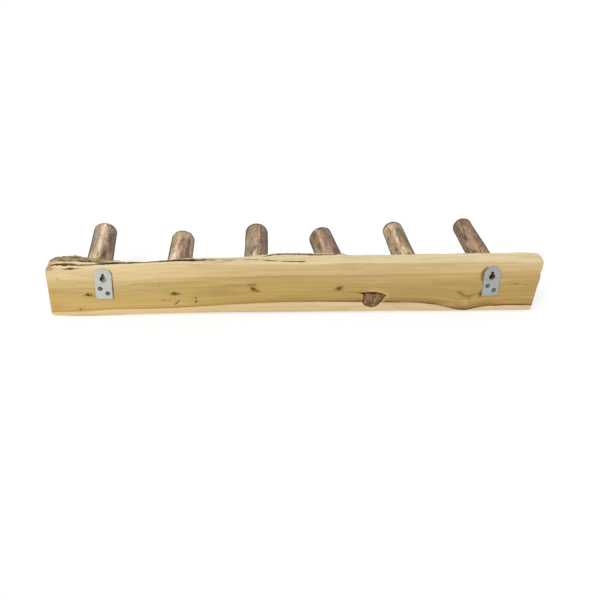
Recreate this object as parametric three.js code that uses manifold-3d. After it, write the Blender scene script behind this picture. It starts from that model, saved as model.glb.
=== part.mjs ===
// A rustic peg rail: a live-edge teak board with six branch pegs on its front and two keyhole
// hanger plates on its back. Millimetres, +Z up. The wall is the plane y = 0, which the plates'
// outer faces lie in, and the pegs point along -Y. The origin is midway between the two points
// where the wall screws carry the keyholes.
import * as THREE from "three";
import { mergeVertices } from "three/addons/utils/BufferGeometryUtils.js";
import Module from "manifold-3d";

const wasm = await Module();
wasm.setup();

// ---- driving dimensions ----
const CLEARANCE = 0.3; // between pieces that touch
const THROUGH = 20; // how far a cutter runs past the face it opens

const PLATE_THICKNESS = 2;
const PLATE_WIDTH = 30;
const PLATE_HEIGHT = 60;
const PLATE_TOP = 9.8; // above the top of the keyhole's slot, where a wall screw carries it
const SEAT_SPACING = 711; // between the two keyhole slots
const SLOT_RADIUS = 2.7;
const ENTRY_RADIUS = 6;
const ENTRY_DROP = 11.2; // from the slot's top down to the middle of the round hole
const POCKET_RADIUS = 7; // room behind the keyhole for a wall screw's head
const POCKET_DEPTH = 7;

const BOARD_THICKNESS = 30;
const BOARD_BACK = -PLATE_THICKNESS;
const BOARD_FRONT = BOARD_BACK - BOARD_THICKNESS;
const FRONT_ROUNDING = 4;
const BACK_EASING = 0.8;

const PEG_TILT = 11; // degrees up from level
const PEG_TAPER = 0.93; // tip radius over base radius
const PEG_END_ROUNDING = 4;

const PEG_SCREW = { head: 3.5, shank: 1.75, length: 60, cone: 3 };
const PLATE_SCREW = { head: 4, shank: 1.6, length: 20, cone: 2.3 };
const PEG_SCREW_SUNK = 7; // below the board's back face
const PLUG_DEPTH = 5.5;
const PLUG_HALF_WIDTH = 5.6; // the plugs are oval, long along the grain
const PLUG_HALF_HEIGHT = 3.9;

const KNOT_DEPTH = 14;
const KNOT_SUNK = 1.6;
const KNOT_GAP = 1;

// ---- helpers ----
const radians = THREE.MathUtils.degToRad;
const vectors = (points) => points.map(([x, z]) => new THREE.Vector2(x, z));

/** A closed three.js geometry as a manifold solid, after an optional move. */
function solid(geometry, matrix = new THREE.Matrix4()) {
  const plain = geometry.clone().applyMatrix4(matrix);
  plain.deleteAttribute("normal");
  plain.deleteAttribute("uv");
  const merged = mergeVertices(plain, 1e-4);
  const corners = [];
  for (let i = 0; i < merged.index.count; i += 3) {
    const [a, b, c] = merged.index.array.slice(i, i + 3);
    if (a !== b && b !== c && c !== a) corners.push(a, b, c);
  }
  const vertProperties = new Float32Array(merged.attributes.position.array);
  const triVerts = new Uint32Array(corners);
  return new wasm.Manifold(new wasm.Mesh({ numProp: 3, vertProperties, triVerts }));
}

/** A manifold solid as a three.js geometry with flat-shaded faces. */
function geometryOf(body) {
  const mesh = body.getMesh();
  const indexed = new THREE.BufferGeometry();
  indexed.setAttribute("position", new THREE.BufferAttribute(mesh.vertProperties, 3));
  indexed.setIndex(new THREE.BufferAttribute(mesh.triVerts, 1));
  const flat = indexed.toNonIndexed();
  flat.computeVertexNormals();
  return flat;
}

/** An outline drawn in X and Z, from y = back to y = back - depth. */
function slab(shape, back, depth, options = {}) {
  const settings = { depth, bevelEnabled: false, curveSegments: 3, ...options };
  return new THREE.ExtrudeGeometry(shape, settings).rotateX(Math.PI / 2).translate(0, back, 0);
}

/** A turned piece around the Y axis. The profile lists [radius, y] from one end to the other. */
function turned(profile, segments = 14) {
  return new THREE.LatheGeometry(vectors(profile), segments);
}

/** An upright round-ended slot from z = low to z = high, counting its round ends. */
function slotShape(radius, low, high) {
  const shape = new THREE.Shape();
  shape.absarc(0, high - radius, radius, 0, Math.PI, false);
  shape.absarc(0, low + radius, radius, Math.PI, 2 * Math.PI, false);
  return shape;
}

function material(color, roughness, metalness = 0) {
  return new THREE.MeshStandardMaterial({ color, roughness, metalness });
}

function named(name, geometry, finish) {
  const mesh = new THREE.Mesh(geometry, finish);
  mesh.name = name;
  return mesh;
}

// ---- screws ----
/** A countersunk wood screw along -Y with the top of its head at y = 0 and a cross recess. */
function woodScrew({ head, shank, length, cone }) {
  const rim = 0.35;
  const point = 2 * shank;
  const body = turned([
    [0, -length],
    [shank, point - length],
    [shank, -cone],
    [head, -rim],
    [head, 0],
    [0, 0],
  ]);
  const recessDepth = 0.65 * cone;
  const wide = new THREE.BoxGeometry(1.1 * head, 2 * recessDepth, 0.24 * head);
  const recess = solid(wide).add(solid(wide.clone().rotateY(Math.PI / 2)));
  return geometryOf(solid(body).subtract(recess));
}

/** What a screw needs cut out of the piece around it. Its head's space opens towards +Y. */
function screwHole({ head, shank, length, cone }, opening) {
  const around = head + CLEARANCE;
  const bore = shank + CLEARANCE;
  return turned([
    [0, -length - CLEARANCE],
    [bore, -length - CLEARANCE],
    [bore, -cone - CLEARANCE],
    [around, -CLEARANCE],
    [around, opening],
    [0, opening],
  ]);
}

const steel = material(0x8f9694, 0.4, 0.9);
const zinc = material(0xb4bfc0, 0.45, 0.8);
const filler = material(0x5c4118, 0.9);

// ---- hanger plates ----
const PLATE_SCREWS = { upper: [6, -30], lower: [-6.8, -39.2] };
const HANGERS = [
  { x: SEAT_SPACING / 2, lean: -2.6 },
  { x: -SEAT_SPACING / 2, lean: 1.6 },
];

function plateOutline() {
  const radius = PLATE_WIDTH / 2;
  const bottom = PLATE_TOP - PLATE_HEIGHT;
  const shape = new THREE.Shape();
  shape.moveTo(-radius, bottom);
  shape.lineTo(radius, bottom);
  shape.absarc(0, PLATE_TOP - radius, radius, 0, Math.PI, false);
  shape.closePath();
  return shape;
}

function hangerPlate() {
  const blank = slab(plateOutline(), 0, PLATE_THICKNESS, { curveSegments: 12 });
  const entryBottom = -ENTRY_DROP - ENTRY_RADIUS;
  const entry = slotShape(ENTRY_RADIUS, entryBottom, entryBottom + 2 * ENTRY_RADIUS);
  const slot = slotShape(SLOT_RADIUS, -ENTRY_DROP, 0);
  let body = solid(blank);
  for (const opening of [entry, slot]) {
    const cutter = slab(opening, THROUGH, 2 * THROUGH, { curveSegments: 10 });
    body = body.subtract(solid(cutter));
  }
  for (const [x, z] of Object.values(PLATE_SCREWS)) {
    const hole = screwHole(PLATE_SCREW, THROUGH).translate(x, 0, z);
    body = body.subtract(solid(hole));
  }
  return geometryOf(body);
}

function hanger({ x, lean }, number) {
  const group = new THREE.Group();
  group.position.set(x, 0, 0);
  group.rotation.y = radians(lean);
  group.add(named(`hanger_plate_${number}`, hangerPlate(), zinc));
  for (const [place, [screwX, screwZ]] of Object.entries(PLATE_SCREWS)) {
    const screw = named(`plate_${number}_screw_${place}`, woodScrew(PLATE_SCREW), steel);
    screw.position.set(screwX, 0, screwZ);
    group.add(screw);
  }
  group.updateMatrixWorld(true);
  return group;
}

/** The pocket behind the keyhole and the two pilot holes, in the hanger's own frame. */
function hangerCutters() {
  const pocket = slotShape(POCKET_RADIUS, -ENTRY_DROP - POCKET_RADIUS, 1.5 + SLOT_RADIUS);
  const pocketDepth = THROUGH - BOARD_BACK + POCKET_DEPTH;
  const cutters = [slab(pocket, THROUGH, pocketDepth, { curveSegments: 8 })];
  for (const [x, z] of Object.values(PLATE_SCREWS)) {
    cutters.push(screwHole(PLATE_SCREW, THROUGH).translate(x, 0, z));
  }
  return cutters;
}

// ---- pegs ----
// Numbered from the +X end. x and z are the middle of the seat on the board's front face, yaw
// turns the peg towards +X, and length runs from the seat to the sawn end.
const PEGS = [
  { x: 380, z: -42.5, yaw: 3, length: 186, diameter: 49.5, screwX: 385.3 },
  { x: 231.8, z: -41.5, yaw: -1.1, length: 155, diameter: 49.6, screwX: 232.6 },
  { x: 84.3, z: -34, yaw: -1.7, length: 168, diameter: 48.2, screwX: 88.2 },
  { x: -73.8, z: -33, yaw: 9.2, length: 153, diameter: 51.4, screwX: -71.1 },
  { x: -217.8, z: -33, yaw: 4.4, length: 175, diameter: 45.3, screwX: -215.7 },
  { x: -371, z: -32.5, yaw: 4.6, length: 188, diameter: 43.4, screwX: -367 },
];

/** A branch stub along +Y with its sawn end eased, long enough behind to be cut at the seat. */
function branch({ length, diameter }) {
  const base = diameter / 2;
  const tip = base * PEG_TAPER;
  const rounding = PEG_END_ROUNDING;
  const steps = 3;
  const profile = [
    [0, -base],
    [base, -base],
    [base * 0.985, 0.35 * length],
    [base * 0.96, 0.7 * length],
  ];
  for (let step = 0; step <= steps; step += 1) {
    const angle = (step / steps) * (Math.PI / 2);
    const inset = rounding * (1 - Math.cos(angle));
    profile.push([tip - inset, length - rounding * (1 - Math.sin(angle))]);
  }
  profile.push([0, length]);
  return turned(profile, 26);
}

function pegMesh(peg, number) {
  const mesh = new THREE.Mesh();
  mesh.name = `peg_${number}`;
  mesh.material = material(0x8d7763, 0.75);
  mesh.position.set(peg.x, BOARD_FRONT, peg.z);
  mesh.rotation.set(radians(PEG_TILT), 0, Math.PI + radians(peg.yaw), "ZYX");
  mesh.updateMatrixWorld(true);
  const toLocal = mesh.matrixWorld.clone().invert();
  const behind = new THREE.BoxGeometry(4 * peg.diameter, 4 * peg.diameter, 4 * peg.diameter);
  behind.translate(peg.x, BOARD_FRONT - CLEARANCE + 2 * peg.diameter, peg.z);
  const bore = screwHole(PEG_SCREW, 0).translate(peg.screwX, BOARD_BACK - PEG_SCREW_SUNK, peg.z);
  const body = solid(branch(peg)).subtract(solid(behind, toLocal)).subtract(solid(bore, toLocal));
  mesh.geometry = geometryOf(body);
  return mesh;
}

function pegScrew(peg, number) {
  const screw = named(`peg_screw_${number}`, woodScrew(PEG_SCREW), steel);
  screw.position.set(peg.screwX, BOARD_BACK - PEG_SCREW_SUNK, peg.z);
  return screw;
}

function plugShape(margin) {
  const shape = new THREE.Shape();
  const halfWidth = PLUG_HALF_WIDTH + margin;
  const halfHeight = PLUG_HALF_HEIGHT + margin;
  shape.absellipse(0, 0, halfWidth, halfHeight, 0, 2 * Math.PI, false, 0);
  return shape;
}

function screwPlug(peg, number) {
  const plug = slab(plugShape(0), 0, PLUG_DEPTH, { curveSegments: 8 });
  const mesh = named(`screw_plug_${number}`, plug, filler);
  mesh.position.set(peg.screwX, BOARD_BACK - CLEARANCE, peg.z);
  return mesh;
}

function pegCutters(peg) {
  const hole = screwHole(PEG_SCREW, THROUGH);
  hole.translate(peg.screwX, BOARD_BACK - PEG_SCREW_SUNK, peg.z);
  const mouthDepth = THROUGH - BOARD_BACK + PEG_SCREW_SUNK;
  const mouth = slab(plugShape(CLEARANCE), THROUGH, mouthDepth, { curveSegments: 8 });
  mouth.translate(peg.screwX, 0, peg.z);
  return [hole, mouth];
}

// ---- board and its knot ----
/** The edges as seen from behind, each from the +X end to the -X end or back again. */
const TOP_EDGE = [
  [455, 9],
  [430, 13.5],
  [350, 15.5],
  [235, 20.5],
  [140, 19],
  [0, 20.5],
  [-220, 20.5],
  [-340, 20.8],
  [-443, 21.2],
];
const WORN_CORNER = [
  [-449.9, 21.2],
  [-450, 14],
];
const NARROW_END = [
  [-448.6, -4],
  [-449.4, -14],
  [-447, -38],
];
const BOTTOM_EDGE = [
  [-442.2, -82.4],
  [-285, -82],
  [-88, -82.7],
  [140, -81.5],
  [315, -83.5],
  [405, -86.5],
  [455.6, -83.3],
];
const KNOT_OUTLINE = [
  [-117, -44],
  [-133, -42],
  [-149, -43.5],
  [-160, -50.5],
  [-153, -59],
  [-146.7, -70],
  [-135.6, -75],
  [-122.6, -71.5],
  [-116, -63],
];

function boardOutline() {
  const shape = new THREE.Shape();
  shape.moveTo(...TOP_EDGE[0]);
  shape.splineThru(vectors(TOP_EDGE.slice(1)));
  shape.quadraticCurveTo(...WORN_CORNER.flat());
  for (const point of NARROW_END) shape.lineTo(...point);
  shape.lineTo(...BOTTOM_EDGE[0]);
  shape.splineThru(vectors(BOTTOM_EDGE.slice(1)));
  shape.closePath();
  return shape;
}

/** The hole's outline, moved inwards by a margin for the knot that sits in it. */
function knotShape(margin) {
  const middle = new THREE.Vector2();
  for (const [x, z] of KNOT_OUTLINE) middle.add(new THREE.Vector2(x, z));
  middle.divideScalar(KNOT_OUTLINE.length);
  const points = vectors(KNOT_OUTLINE).map((point) => {
    const arm = point.clone().sub(middle);
    return middle.clone().add(arm.setLength(arm.length() - margin));
  });
  const shape = new THREE.Shape();
  shape.moveTo(points[0].x, points[0].y);
  shape.splineThru([...points.slice(1), points[0]]);
  return shape;
}

function board() {
  const rounded = {
    bevelEnabled: true,
    bevelThickness: FRONT_ROUNDING,
    bevelSize: FRONT_ROUNDING,
    bevelOffset: -FRONT_ROUNDING,
    bevelSegments: 2,
  };
  const eased = {
    ...rounded,
    bevelThickness: BACK_EASING,
    bevelSize: BACK_EASING,
    bevelOffset: -BACK_EASING,
    bevelSegments: 1,
  };
  const outline = boardOutline();
  const frontDepth = THROUGH + BOARD_THICKNESS - FRONT_ROUNDING;
  const frontRounded = slab(outline, BOARD_BACK + THROUGH, frontDepth, rounded);
  const backEased = slab(outline, BOARD_BACK - BACK_EASING, BOARD_THICKNESS + THROUGH, eased);
  let body = solid(frontRounded).intersect(solid(backEased));
  for (const peg of PEGS) {
    for (const cutter of pegCutters(peg)) body = body.subtract(solid(cutter));
  }
  for (const { x, lean } of HANGERS) {
    const place = new THREE.Matrix4().makeRotationY(radians(lean)).setPosition(x, 0, 0);
    for (const cutter of hangerCutters()) body = body.subtract(solid(cutter, place));
  }
  const knotHole = slab(knotShape(0), THROUGH, THROUGH - BOARD_BACK + KNOT_DEPTH);
  body = body.subtract(solid(knotHole));
  return named("board", geometryOf(body), material(0xcdb27c, 0.7));
}

function deadKnot() {
  const crown = 2;
  const back = BOARD_BACK - KNOT_SUNK - crown;
  const crowned = {
    bevelEnabled: true,
    bevelThickness: crown,
    bevelSize: crown,
    bevelOffset: -crown,
    bevelSegments: 2,
  };
  const depth = KNOT_DEPTH - KNOT_SUNK - CLEARANCE - 2 * crown;
  const core = slab(knotShape(KNOT_GAP), back, depth, crowned);
  return named("dead_knot", core, material(0x8a7458, 0.9));
}

// ---- the assembly ----
const rail = new THREE.Group();
rail.add(board(), deadKnot());
PEGS.forEach((peg, index) => {
  const number = index + 1;
  rail.add(pegMesh(peg, number), pegScrew(peg, number), screwPlug(peg, number));
});
HANGERS.forEach((place, index) => rail.add(hanger(place, index + 1)));

export default rail;
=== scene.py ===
"""A rustic peg rail seen from behind: a live-edge board with six branch pegs on its front, two
keyhole hanger plates screwed to its back, a dead knot, and filler over the pegs' screws.
Shapes are worked out in millimetres in the frame of the CAD model, then scaled to metres."""

import math

import bmesh
import bpy
import numpy as np
from mathutils import Matrix, Vector


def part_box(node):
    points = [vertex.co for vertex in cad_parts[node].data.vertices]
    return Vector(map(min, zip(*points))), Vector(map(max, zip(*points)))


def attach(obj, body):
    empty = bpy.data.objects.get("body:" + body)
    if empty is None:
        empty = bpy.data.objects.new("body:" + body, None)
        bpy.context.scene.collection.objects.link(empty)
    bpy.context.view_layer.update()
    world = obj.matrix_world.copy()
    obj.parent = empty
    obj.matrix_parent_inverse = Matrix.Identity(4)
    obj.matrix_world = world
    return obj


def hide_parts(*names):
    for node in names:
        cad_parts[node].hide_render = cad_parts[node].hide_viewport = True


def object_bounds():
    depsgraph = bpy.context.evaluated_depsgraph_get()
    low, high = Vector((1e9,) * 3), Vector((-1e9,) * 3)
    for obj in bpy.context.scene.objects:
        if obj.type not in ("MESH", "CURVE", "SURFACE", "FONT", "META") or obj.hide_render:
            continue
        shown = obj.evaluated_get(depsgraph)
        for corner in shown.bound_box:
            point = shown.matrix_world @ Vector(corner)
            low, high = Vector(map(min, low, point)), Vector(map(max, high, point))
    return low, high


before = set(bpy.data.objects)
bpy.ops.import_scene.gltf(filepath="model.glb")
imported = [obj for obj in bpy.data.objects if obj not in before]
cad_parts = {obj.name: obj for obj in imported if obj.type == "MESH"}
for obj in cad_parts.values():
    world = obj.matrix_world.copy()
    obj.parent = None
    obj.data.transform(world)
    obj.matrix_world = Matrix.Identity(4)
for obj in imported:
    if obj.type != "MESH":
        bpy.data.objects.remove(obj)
cad_low, cad_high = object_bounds()

MM = 0.001

# ---- sizes of the CAD model, in millimetres ----
BACK = -2.0  # the board's back face, which the plates lie on
FRONT = -32.0
THICKNESS = BACK - FRONT
BACK_HALF = -18.0  # what is cut into the back is coloured down to here only
PEG_TILT = 11
PEG_TAPER = 0.93
PEGS = [  # from the +X end
    {"x": 380, "z": -42.5, "yaw": 3, "length": 186, "diameter": 49.5},
    {"x": 231.8, "z": -41.5, "yaw": -1.1, "length": 155, "diameter": 49.6},
    {"x": 84.3, "z": -34, "yaw": -1.7, "length": 168, "diameter": 48.2},
    {"x": -73.8, "z": -33, "yaw": 9.2, "length": 153, "diameter": 51.4},
    {"x": -217.8, "z": -33, "yaw": 4.4, "length": 175, "diameter": 45.3},
    {"x": -371, "z": -32.5, "yaw": 4.6, "length": 188, "diameter": 43.4},
]
HANGERS = [{"x": 355.5, "lean": -2.6}, {"x": -355.5, "lean": 1.6}]
PLATE_THICKNESS = 2.0
PLATE_WIDTH = 30.0
PLATE_HEIGHT = 60.0
PLATE_TOP = 9.8  # above the top of the keyhole's slot
SLOT_RADIUS = 2.7
ENTRY_RADIUS = 6.0
ENTRY_DROP = 11.2
POCKET_RADIUS = 7.0  # the room behind a keyhole for a wall screw's head
POCKET_DEPTH = 7.0
PLATE_SCREWS = {"upper": (6, -30), "lower": (-6.8, -39.2)}
SCREW_HEAD = 4.0  # radii and length of a plate's screw
SCREW_SHANK = 1.6
SCREW_LENGTH = 20.0
PEG_SCREW_HEAD = 3.5  # radii of a peg's screw and how deep it is sunk
PEG_SCREW_SHANK = 1.75
PEG_SCREW_SUNK = 7.0
PEG_SCREW_CONE = 3.0
CLEARANCE = 0.3
KNOT_DEPTH = 14.0

# ---- how finely the visible pieces are drawn ----
HOLE_POINTS = 110  # round the knot's hole
KNOT_POINTS = 96
MARK_POINTS = 48  # round the filler over a peg's screw
PEG_POINTS = 84
SCREW_POINTS = 56


# ---- numbers ----
def smoothstep(value, low, high):
    t = np.clip((value - low) / (high - low), 0, 1)
    return t * t * (3 - 2 * t)


def bump(distance, width):
    return np.exp(-((distance / width) ** 2))


def value_noise(u, v, seed):
    """Smooth noise from -1 to 1 over a unit lattice, the same on every run."""
    u, v = np.broadcast_arrays(np.asarray(u, float), np.asarray(v, float))
    column, row = np.floor(u).astype(np.int64), np.floor(v).astype(np.int64)
    fu, fv = smoothstep(u - column, 0, 1), smoothstep(v - row, 0, 1)

    def corner(i, j):
        mixed = ((column + i) * 374761393 + (row + j) * 668265263 + seed * 69069) & 0xFFFFFFFF
        mixed = ((mixed ^ (mixed >> 13)) * 1274126177) & 0xFFFFFFFF
        return (mixed ^ (mixed >> 16)) / 0x7FFFFFFF - 1

    near = corner(0, 0) * (1 - fu) + corner(1, 0) * fu
    far = corner(0, 1) * (1 - fu) + corner(1, 1) * fu
    return near * (1 - fv) + far * fv


def fractal_noise(u, v, seed, octaves=3):
    total = np.zeros(np.broadcast(u, v).shape)
    for octave in range(octaves):
        total += value_noise(u * 2**octave, v * 2**octave, seed + octave) / 2**octave
    return total / 1.6


def curve_through(points):
    """A smooth function of the first coordinate through (x, value) points."""
    xs, values = np.array(sorted(points), float).T
    slopes = np.gradient(values, xs)

    def at(x):
        x = np.clip(x, xs[0], xs[-1])
        i = np.clip(np.searchsorted(xs, x) - 1, 0, len(xs) - 2)
        span = xs[i + 1] - xs[i]
        t = (x - xs[i]) / span
        rise = values[i + 1] - values[i]
        turn_in = slopes[i] * span - rise
        turn_out = rise - slopes[i + 1] * span
        return values[i] + t * rise + t * (1 - t) * ((1 - t) * turn_in + t * turn_out)

    return at


# ---- the board's edges and growth lines, as (x, z) seen from behind ----
back_top = curve_through([
    (455, 8.6), (440, 8.2), (403, 7.6), (382, 10.6), (347, 13.6), (306, 16.6), (235, 21),
    (180, 19.5), (138, 17.8), (40, 17.8), (-42, 18.2), (-70, 19.4), (-220, 19.4), (-436, 19.6),
    (-449, 19.2),
])
front_top = curve_through([
    (455, 14.5), (451, 16.1), (431, 20.4), (410, 21.6), (387, 17.6), (340, 12.4), (293, 9.8),
    (250, 12.2), (221, 15.6), (183, 16.9), (130, 17.3), (110, 18.4), (57, 23.4), (40, 24.6),
    (2, 25.2), (-40, 24.4), (-60, 24.2), (-79, 24.3), (-88, 22.2), (-130, 21.5), (-166, 21.6),
    (-242, 22.9),
    (-337, 23.8), (-400, 24.9), (-420, 25), (-438, 23.8), (-450, 22.4),
])
bottom_edge = curve_through([
    (455, -84.1), (405, -87.2), (315, -84.5), (193, -82.5), (-46, -82.6), (-160, -82.6),
    (-231, -83.2), (-442, -83.4),
])
upper_line = curve_through([
    (458, -16.1), (397, -16.6), (336, -17.1), (273, -13.6), (184, -10.3), (112, -8.8),
    (21, -7.4), (-89, -7.4), (-182, -5.9), (-313, -3.7), (-450, -0.5),
])
lower_line = curve_through([
    (458, -78.0), (422, -77.7), (386, -76.1), (350, -74.2), (313, -73.1), (277, -73.1),
    (240, -72.2), (204, -70.5), (167, -68.2), (130, -65.4), (93, -63.7), (56, -62.0), (19, -61.3),
    (-18, -61.6), (-56, -61.7), (-84, -62.0), (-111, -62.8), (-160, -64.2), (-179, -64.7),
    (-198, -64.6), (-217, -65.4), (-237, -67.6), (-256, -70.4), (-276, -75.2), (-293, -80.2),
    (-305, -82.2), (-316, -82.4), (-335, -77.9), (-354, -74.5), (-373, -73.6), (-392, -72.9),
    (-412, -73.1), (-450, -73.4),
])
second_line = curve_through([  # a growth line inside the first, at the wide end only
    (458, -28.6), (395, -29.1), (374, -29.0), (338, -26.2), (303, -22.6), (258, -20.2),
    (213, -19.1), (184, -18.6), (157, -20.6), (130, -23.0), (103, -23.2), (88, -22),
])
narrow_end = curve_through([  # z to x
    (30, -450), (13, -450), (4.6, -450), (-3.6, -448.3), (-12, -449.4), (-20.3, -449.2),
    (-28.8, -448.1), (-37, -447), (-45.8, -446.2), (-54, -445.6), (-63, -444.5), (-71.7, -444),
    (-80, -442.2), (-90, -442),
])
NARROW_END = -450.0
WIDE_END = 455.6
WORN_CORNER = 3.6  # how far the top edge rounds over at the narrow end
WORN_FRONT_CORNER = 2.6
END_EASING = 0.8  # round the edges of both ends

KNOT_OUTLINE = [
    (-104, -43.3), (-111, -42.9), (-117, -42.8), (-124, -41.7), (-135, -41.9), (-148, -43.3),
    (-155, -46.2), (-161.8, -50.5), (-157.5, -52.8), (-154.6, -57.6), (-151, -64),
    (-146.7, -70.4), (-141.5, -73.2), (-135.6, -75.2), (-129, -74.2), (-122.6, -71.5),
    (-118, -68.6), (-115.9, -64.3), (-116.3, -58), (-117.3, -52.9), (-117.6, -48.4),
    (-112, -45.2),
]
WORM_HOLES = [  # x, z, radius
    (437, -10.4, 0.8), (403.2, -72.5, 1.4), (257.4, -25.9, 0.8), (251, -55, 1.0),
    (228.4, -60.8, 1.1), (224.6, -56, 0.8), (232, -63.6, 0.9), (194.2, -50, 0.9),
    (193, -58.6, 1.5), (199.8, -52.6, 0.7), (-67, -4.2, 0.7),
]
# The ragged marks over the pegs' screws: x and z from each screw.
MARKS = [
    [(6.2, -0.2), (3.3, 2.6), (0, 3.7), (-3.4, 2.1), (-6.4, 0.2), (-3.6, -2.3), (-0.4, -3.4),
     (3.2, -2.4)],
    [(5.6, 0.2), (3.2, 3.2), (-0.8, 3.6), (-3.4, 2.0), (-6.6, 0.6), (-3.9, -1.3), (-2, -3.6),
     (1.7, -3.2)],
    [(4.0, 2.6), (1.0, 4.0), (-2.6, 3.1), (-4.1, 0.6), (-6.4, -4.4), (-1.4, -2.6), (2.0, -3.8),
     (3.4, -1.0)],
    [(6.4, -2.4), (4.2, 1.4), (0.6, 3.4), (-3.4, 4.2), (-6.4, 6.2), (-5.2, 2.0), (-3.0, -2.4),
     (-0.6, -5.2), (2.2, -3.0)],
    [(3.6, 0.4), (1.6, 2.4), (-2.2, 2.2), (-4.0, -0.4), (-1.4, -2.2), (1.8, -2.0)],
    [(5.0, 0), (2.4, 3.2), (-2.4, 3.2), (-5.0, 0), (-2.4, -3.2), (2.4, -3.2)],
]
# Colour soaked into the back face: colour, strength, x, z, half length, half height.
PATCHES = [
    ((188, 156, 100), 0.70, -290, -70, 40, 5), ((174, 146, 84), 0.50, -322, -41, 22, 8),
    ((184, 154, 96), 0.45, 424, -36, 40, 5), ((188, 160, 98), 0.50, 290, -36, 70, 7),
    ((192, 154, 88), 0.65, 444, -35, 11, 7), ((194, 152, 86), 0.60, 442, -66, 14, 10),
    ((204, 164, 98), 0.40, 432, -50, 16, 12), ((214, 180, 116), 0.35, 405, -58, 34, 10),
    ((150, 118, 66), 0.35, 385, -44, 13, 4), ((150, 114, 60), 0.40, 229, -42.5, 14, 4),
    ((158, 128, 68), 0.42, 122, -26, 36, 5), ((160, 130, 70), 0.30, 150, -34, 44, 6),
    ((146, 104, 52), 0.60, 88, -25, 8, 4), ((140, 98, 46), 0.55, 96, -26, 4, 2.4),
    ((152, 112, 58), 0.50, 87, -36, 9, 5), ((128, 92, 44), 0.45, 77, -39, 5, 2),
    ((146, 116, 60), 0.65, -72, -33, 11, 7), ((136, 100, 48), 0.50, -64, -36.5, 6, 2.6),
    ((150, 126, 66), 0.45, 150, -42, 60, 7), ((152, 126, 68), 0.30, 10, -52, 90, 5),
    ((160, 132, 72), 0.40, -262, -28, 30, 5), ((160, 134, 76), 0.40, -296, -24, 34, 7),
    ((162, 134, 76), 0.25, -330, -30, 18, 12), ((170, 138, 82), 0.50, -297, -62, 4.5, 5),
    ((186, 152, 100), 0.45, -307, -69, 6, 3.5), ((166, 130, 72), 0.45, -303, -56, 5, 3),
    ((180, 148, 90), 0.40, -323, -62, 5, 6), ((206, 174, 116), 0.45, -313, -62, 2.6, 8),
    ((172, 138, 74), 0.50, -434, -42, 8, 9), ((178, 146, 86), 0.30, -428, -54, 14, 7),
    ((146, 108, 56), 0.65, -404, -27, 12, 2.2), ((146, 110, 58), 0.60, -424, -29, 8, 2),
    ((176, 134, 74), 0.35, -132, -38, 24, 4), ((168, 110, 56), 0.45, -96, -57.5, 20, 3),
    ((160, 120, 60), 0.40, -178, -57, 22, 3.4), ((196, 160, 98), 0.25, 300, -62, 60, 6),
    ((176, 148, 86), 0.35, -278, 9.8, 5, 1.4), ((182, 154, 94), 0.30, -262, 12, 12, 1),
    ((186, 158, 98), 0.30, 330, 4, 40, 1.4), ((188, 160, 100), 0.25, 400, 0, 40, 1.2),
    ((184, 152, 92), 0.25, 120, 8, 60, 1.2), ((186, 156, 98), 0.25, -40, 6, 50, 1.4),
    ((194, 164, 108), 0.6, -404, -66.4, 44, 3.4), ((190, 160, 104), 0.40, -50, -55, 56, 4),
]
# Drawn lines: colour, strength, then x, z and half width along each.
STROKES = [
    ((128, 96, 40), 0.85, [(-295.5, -42, 2.2), (-300, -45, 3.4), (-304, -48, 2.6)]),
    ((132, 102, 50), 0.75, [(-304, -48, 2.8), (-309, -51, 3.4), (-315, -53.2, 4.0),
                            (-321, -52.0, 3.6)]),
    ((142, 112, 60), 0.50, [(-320, -52.0, 3.2), (-328, -48.4, 2.8), (-342, -45, 2.4)]),
    ((146, 114, 58), 0.35, [(-317, -55, 3.2), (-320, -60, 2.8), (-323, -67, 2.4)]),
    ((152, 120, 66), 0.30, [(-372, -44, 1.4), (-396, -42, 1.4), (-430, -40.5, 1.0)]),
    ((146, 108, 60), 0.38, [(-291, -67, 1.6), (-297, -72.5, 1.8), (-303, -71, 1.5),
                            (-299, -66, 1.3)]),
    ((146, 108, 60), 0.35, [(-305, -74, 1.4), (-311, -75.5, 1.6), (-318, -72, 1.4)]),
    # painted shadow beside hanger plate 2's +X edge
    ((150, 118, 64), 0.40, [(-338, 0, 1), (-341, -14, 1.4), (-345, -29, 1)]),
    ((126, 90, 44), 0.50, [(-92, -41, 0.6), (-104, -42.3, 1.3), (-112, -43.2, 1.7),
                           (-120, -43, 1.4)]),
    ((150, 108, 54), 0.55, [(262, -54.8, 0.6), (248, -55.2, 1.2), (238, -56, 0.5)]),
    ((146, 104, 50), 0.50, [(414, -74.6, 0.6), (402, -72.6, 1.6), (392, -72.2, 0.6)]),
    ((104, 74, 34), 0.75, [(231, -63, 1.5), (227, -60, 1.4), (223, -55, 1.2)]),
    ((104, 74, 34), 0.70, [(194, -49.5, 1.1), (192, -55, 1.2), (194, -60.5, 1.7)]),
    ((112, 80, 36), 0.75, [(394, -44, 1.0), (385, -42.6, 2.6), (376, -44.6, 1.0)]),
    ((108, 76, 34), 0.75, [(238.5, -42.4, 1.4), (231, -41.4, 3.2), (223.5, -42.4, 1.4)]),
    ((106, 72, 32), 0.75, [(92, -30.6, 1.6), (86.4, -33.8, 3.6), (79.5, -38, 1.9)]),
    ((186, 158, 96), 0.50, [(200, -10, 0.5), (150, -11.5, 0.9), (96, -12, 0.5)]),
]


def on_path(x, z, path):
    """How strongly a drawn line covers points."""
    share = np.zeros(x.shape)
    for (ax, az, width), (bx, bz, next_width) in zip(path, path[1:]):
        dx, dz = bx - ax, bz - az
        t = np.clip(((x - ax) * dx + (z - az) * dz) / (dx * dx + dz * dz), 0, 1)
        away = np.hypot(x - ax - t * dx, z - az - t * dz)
        share = np.maximum(share, bump(away, width + (next_width - width) * t))
    return share


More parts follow.
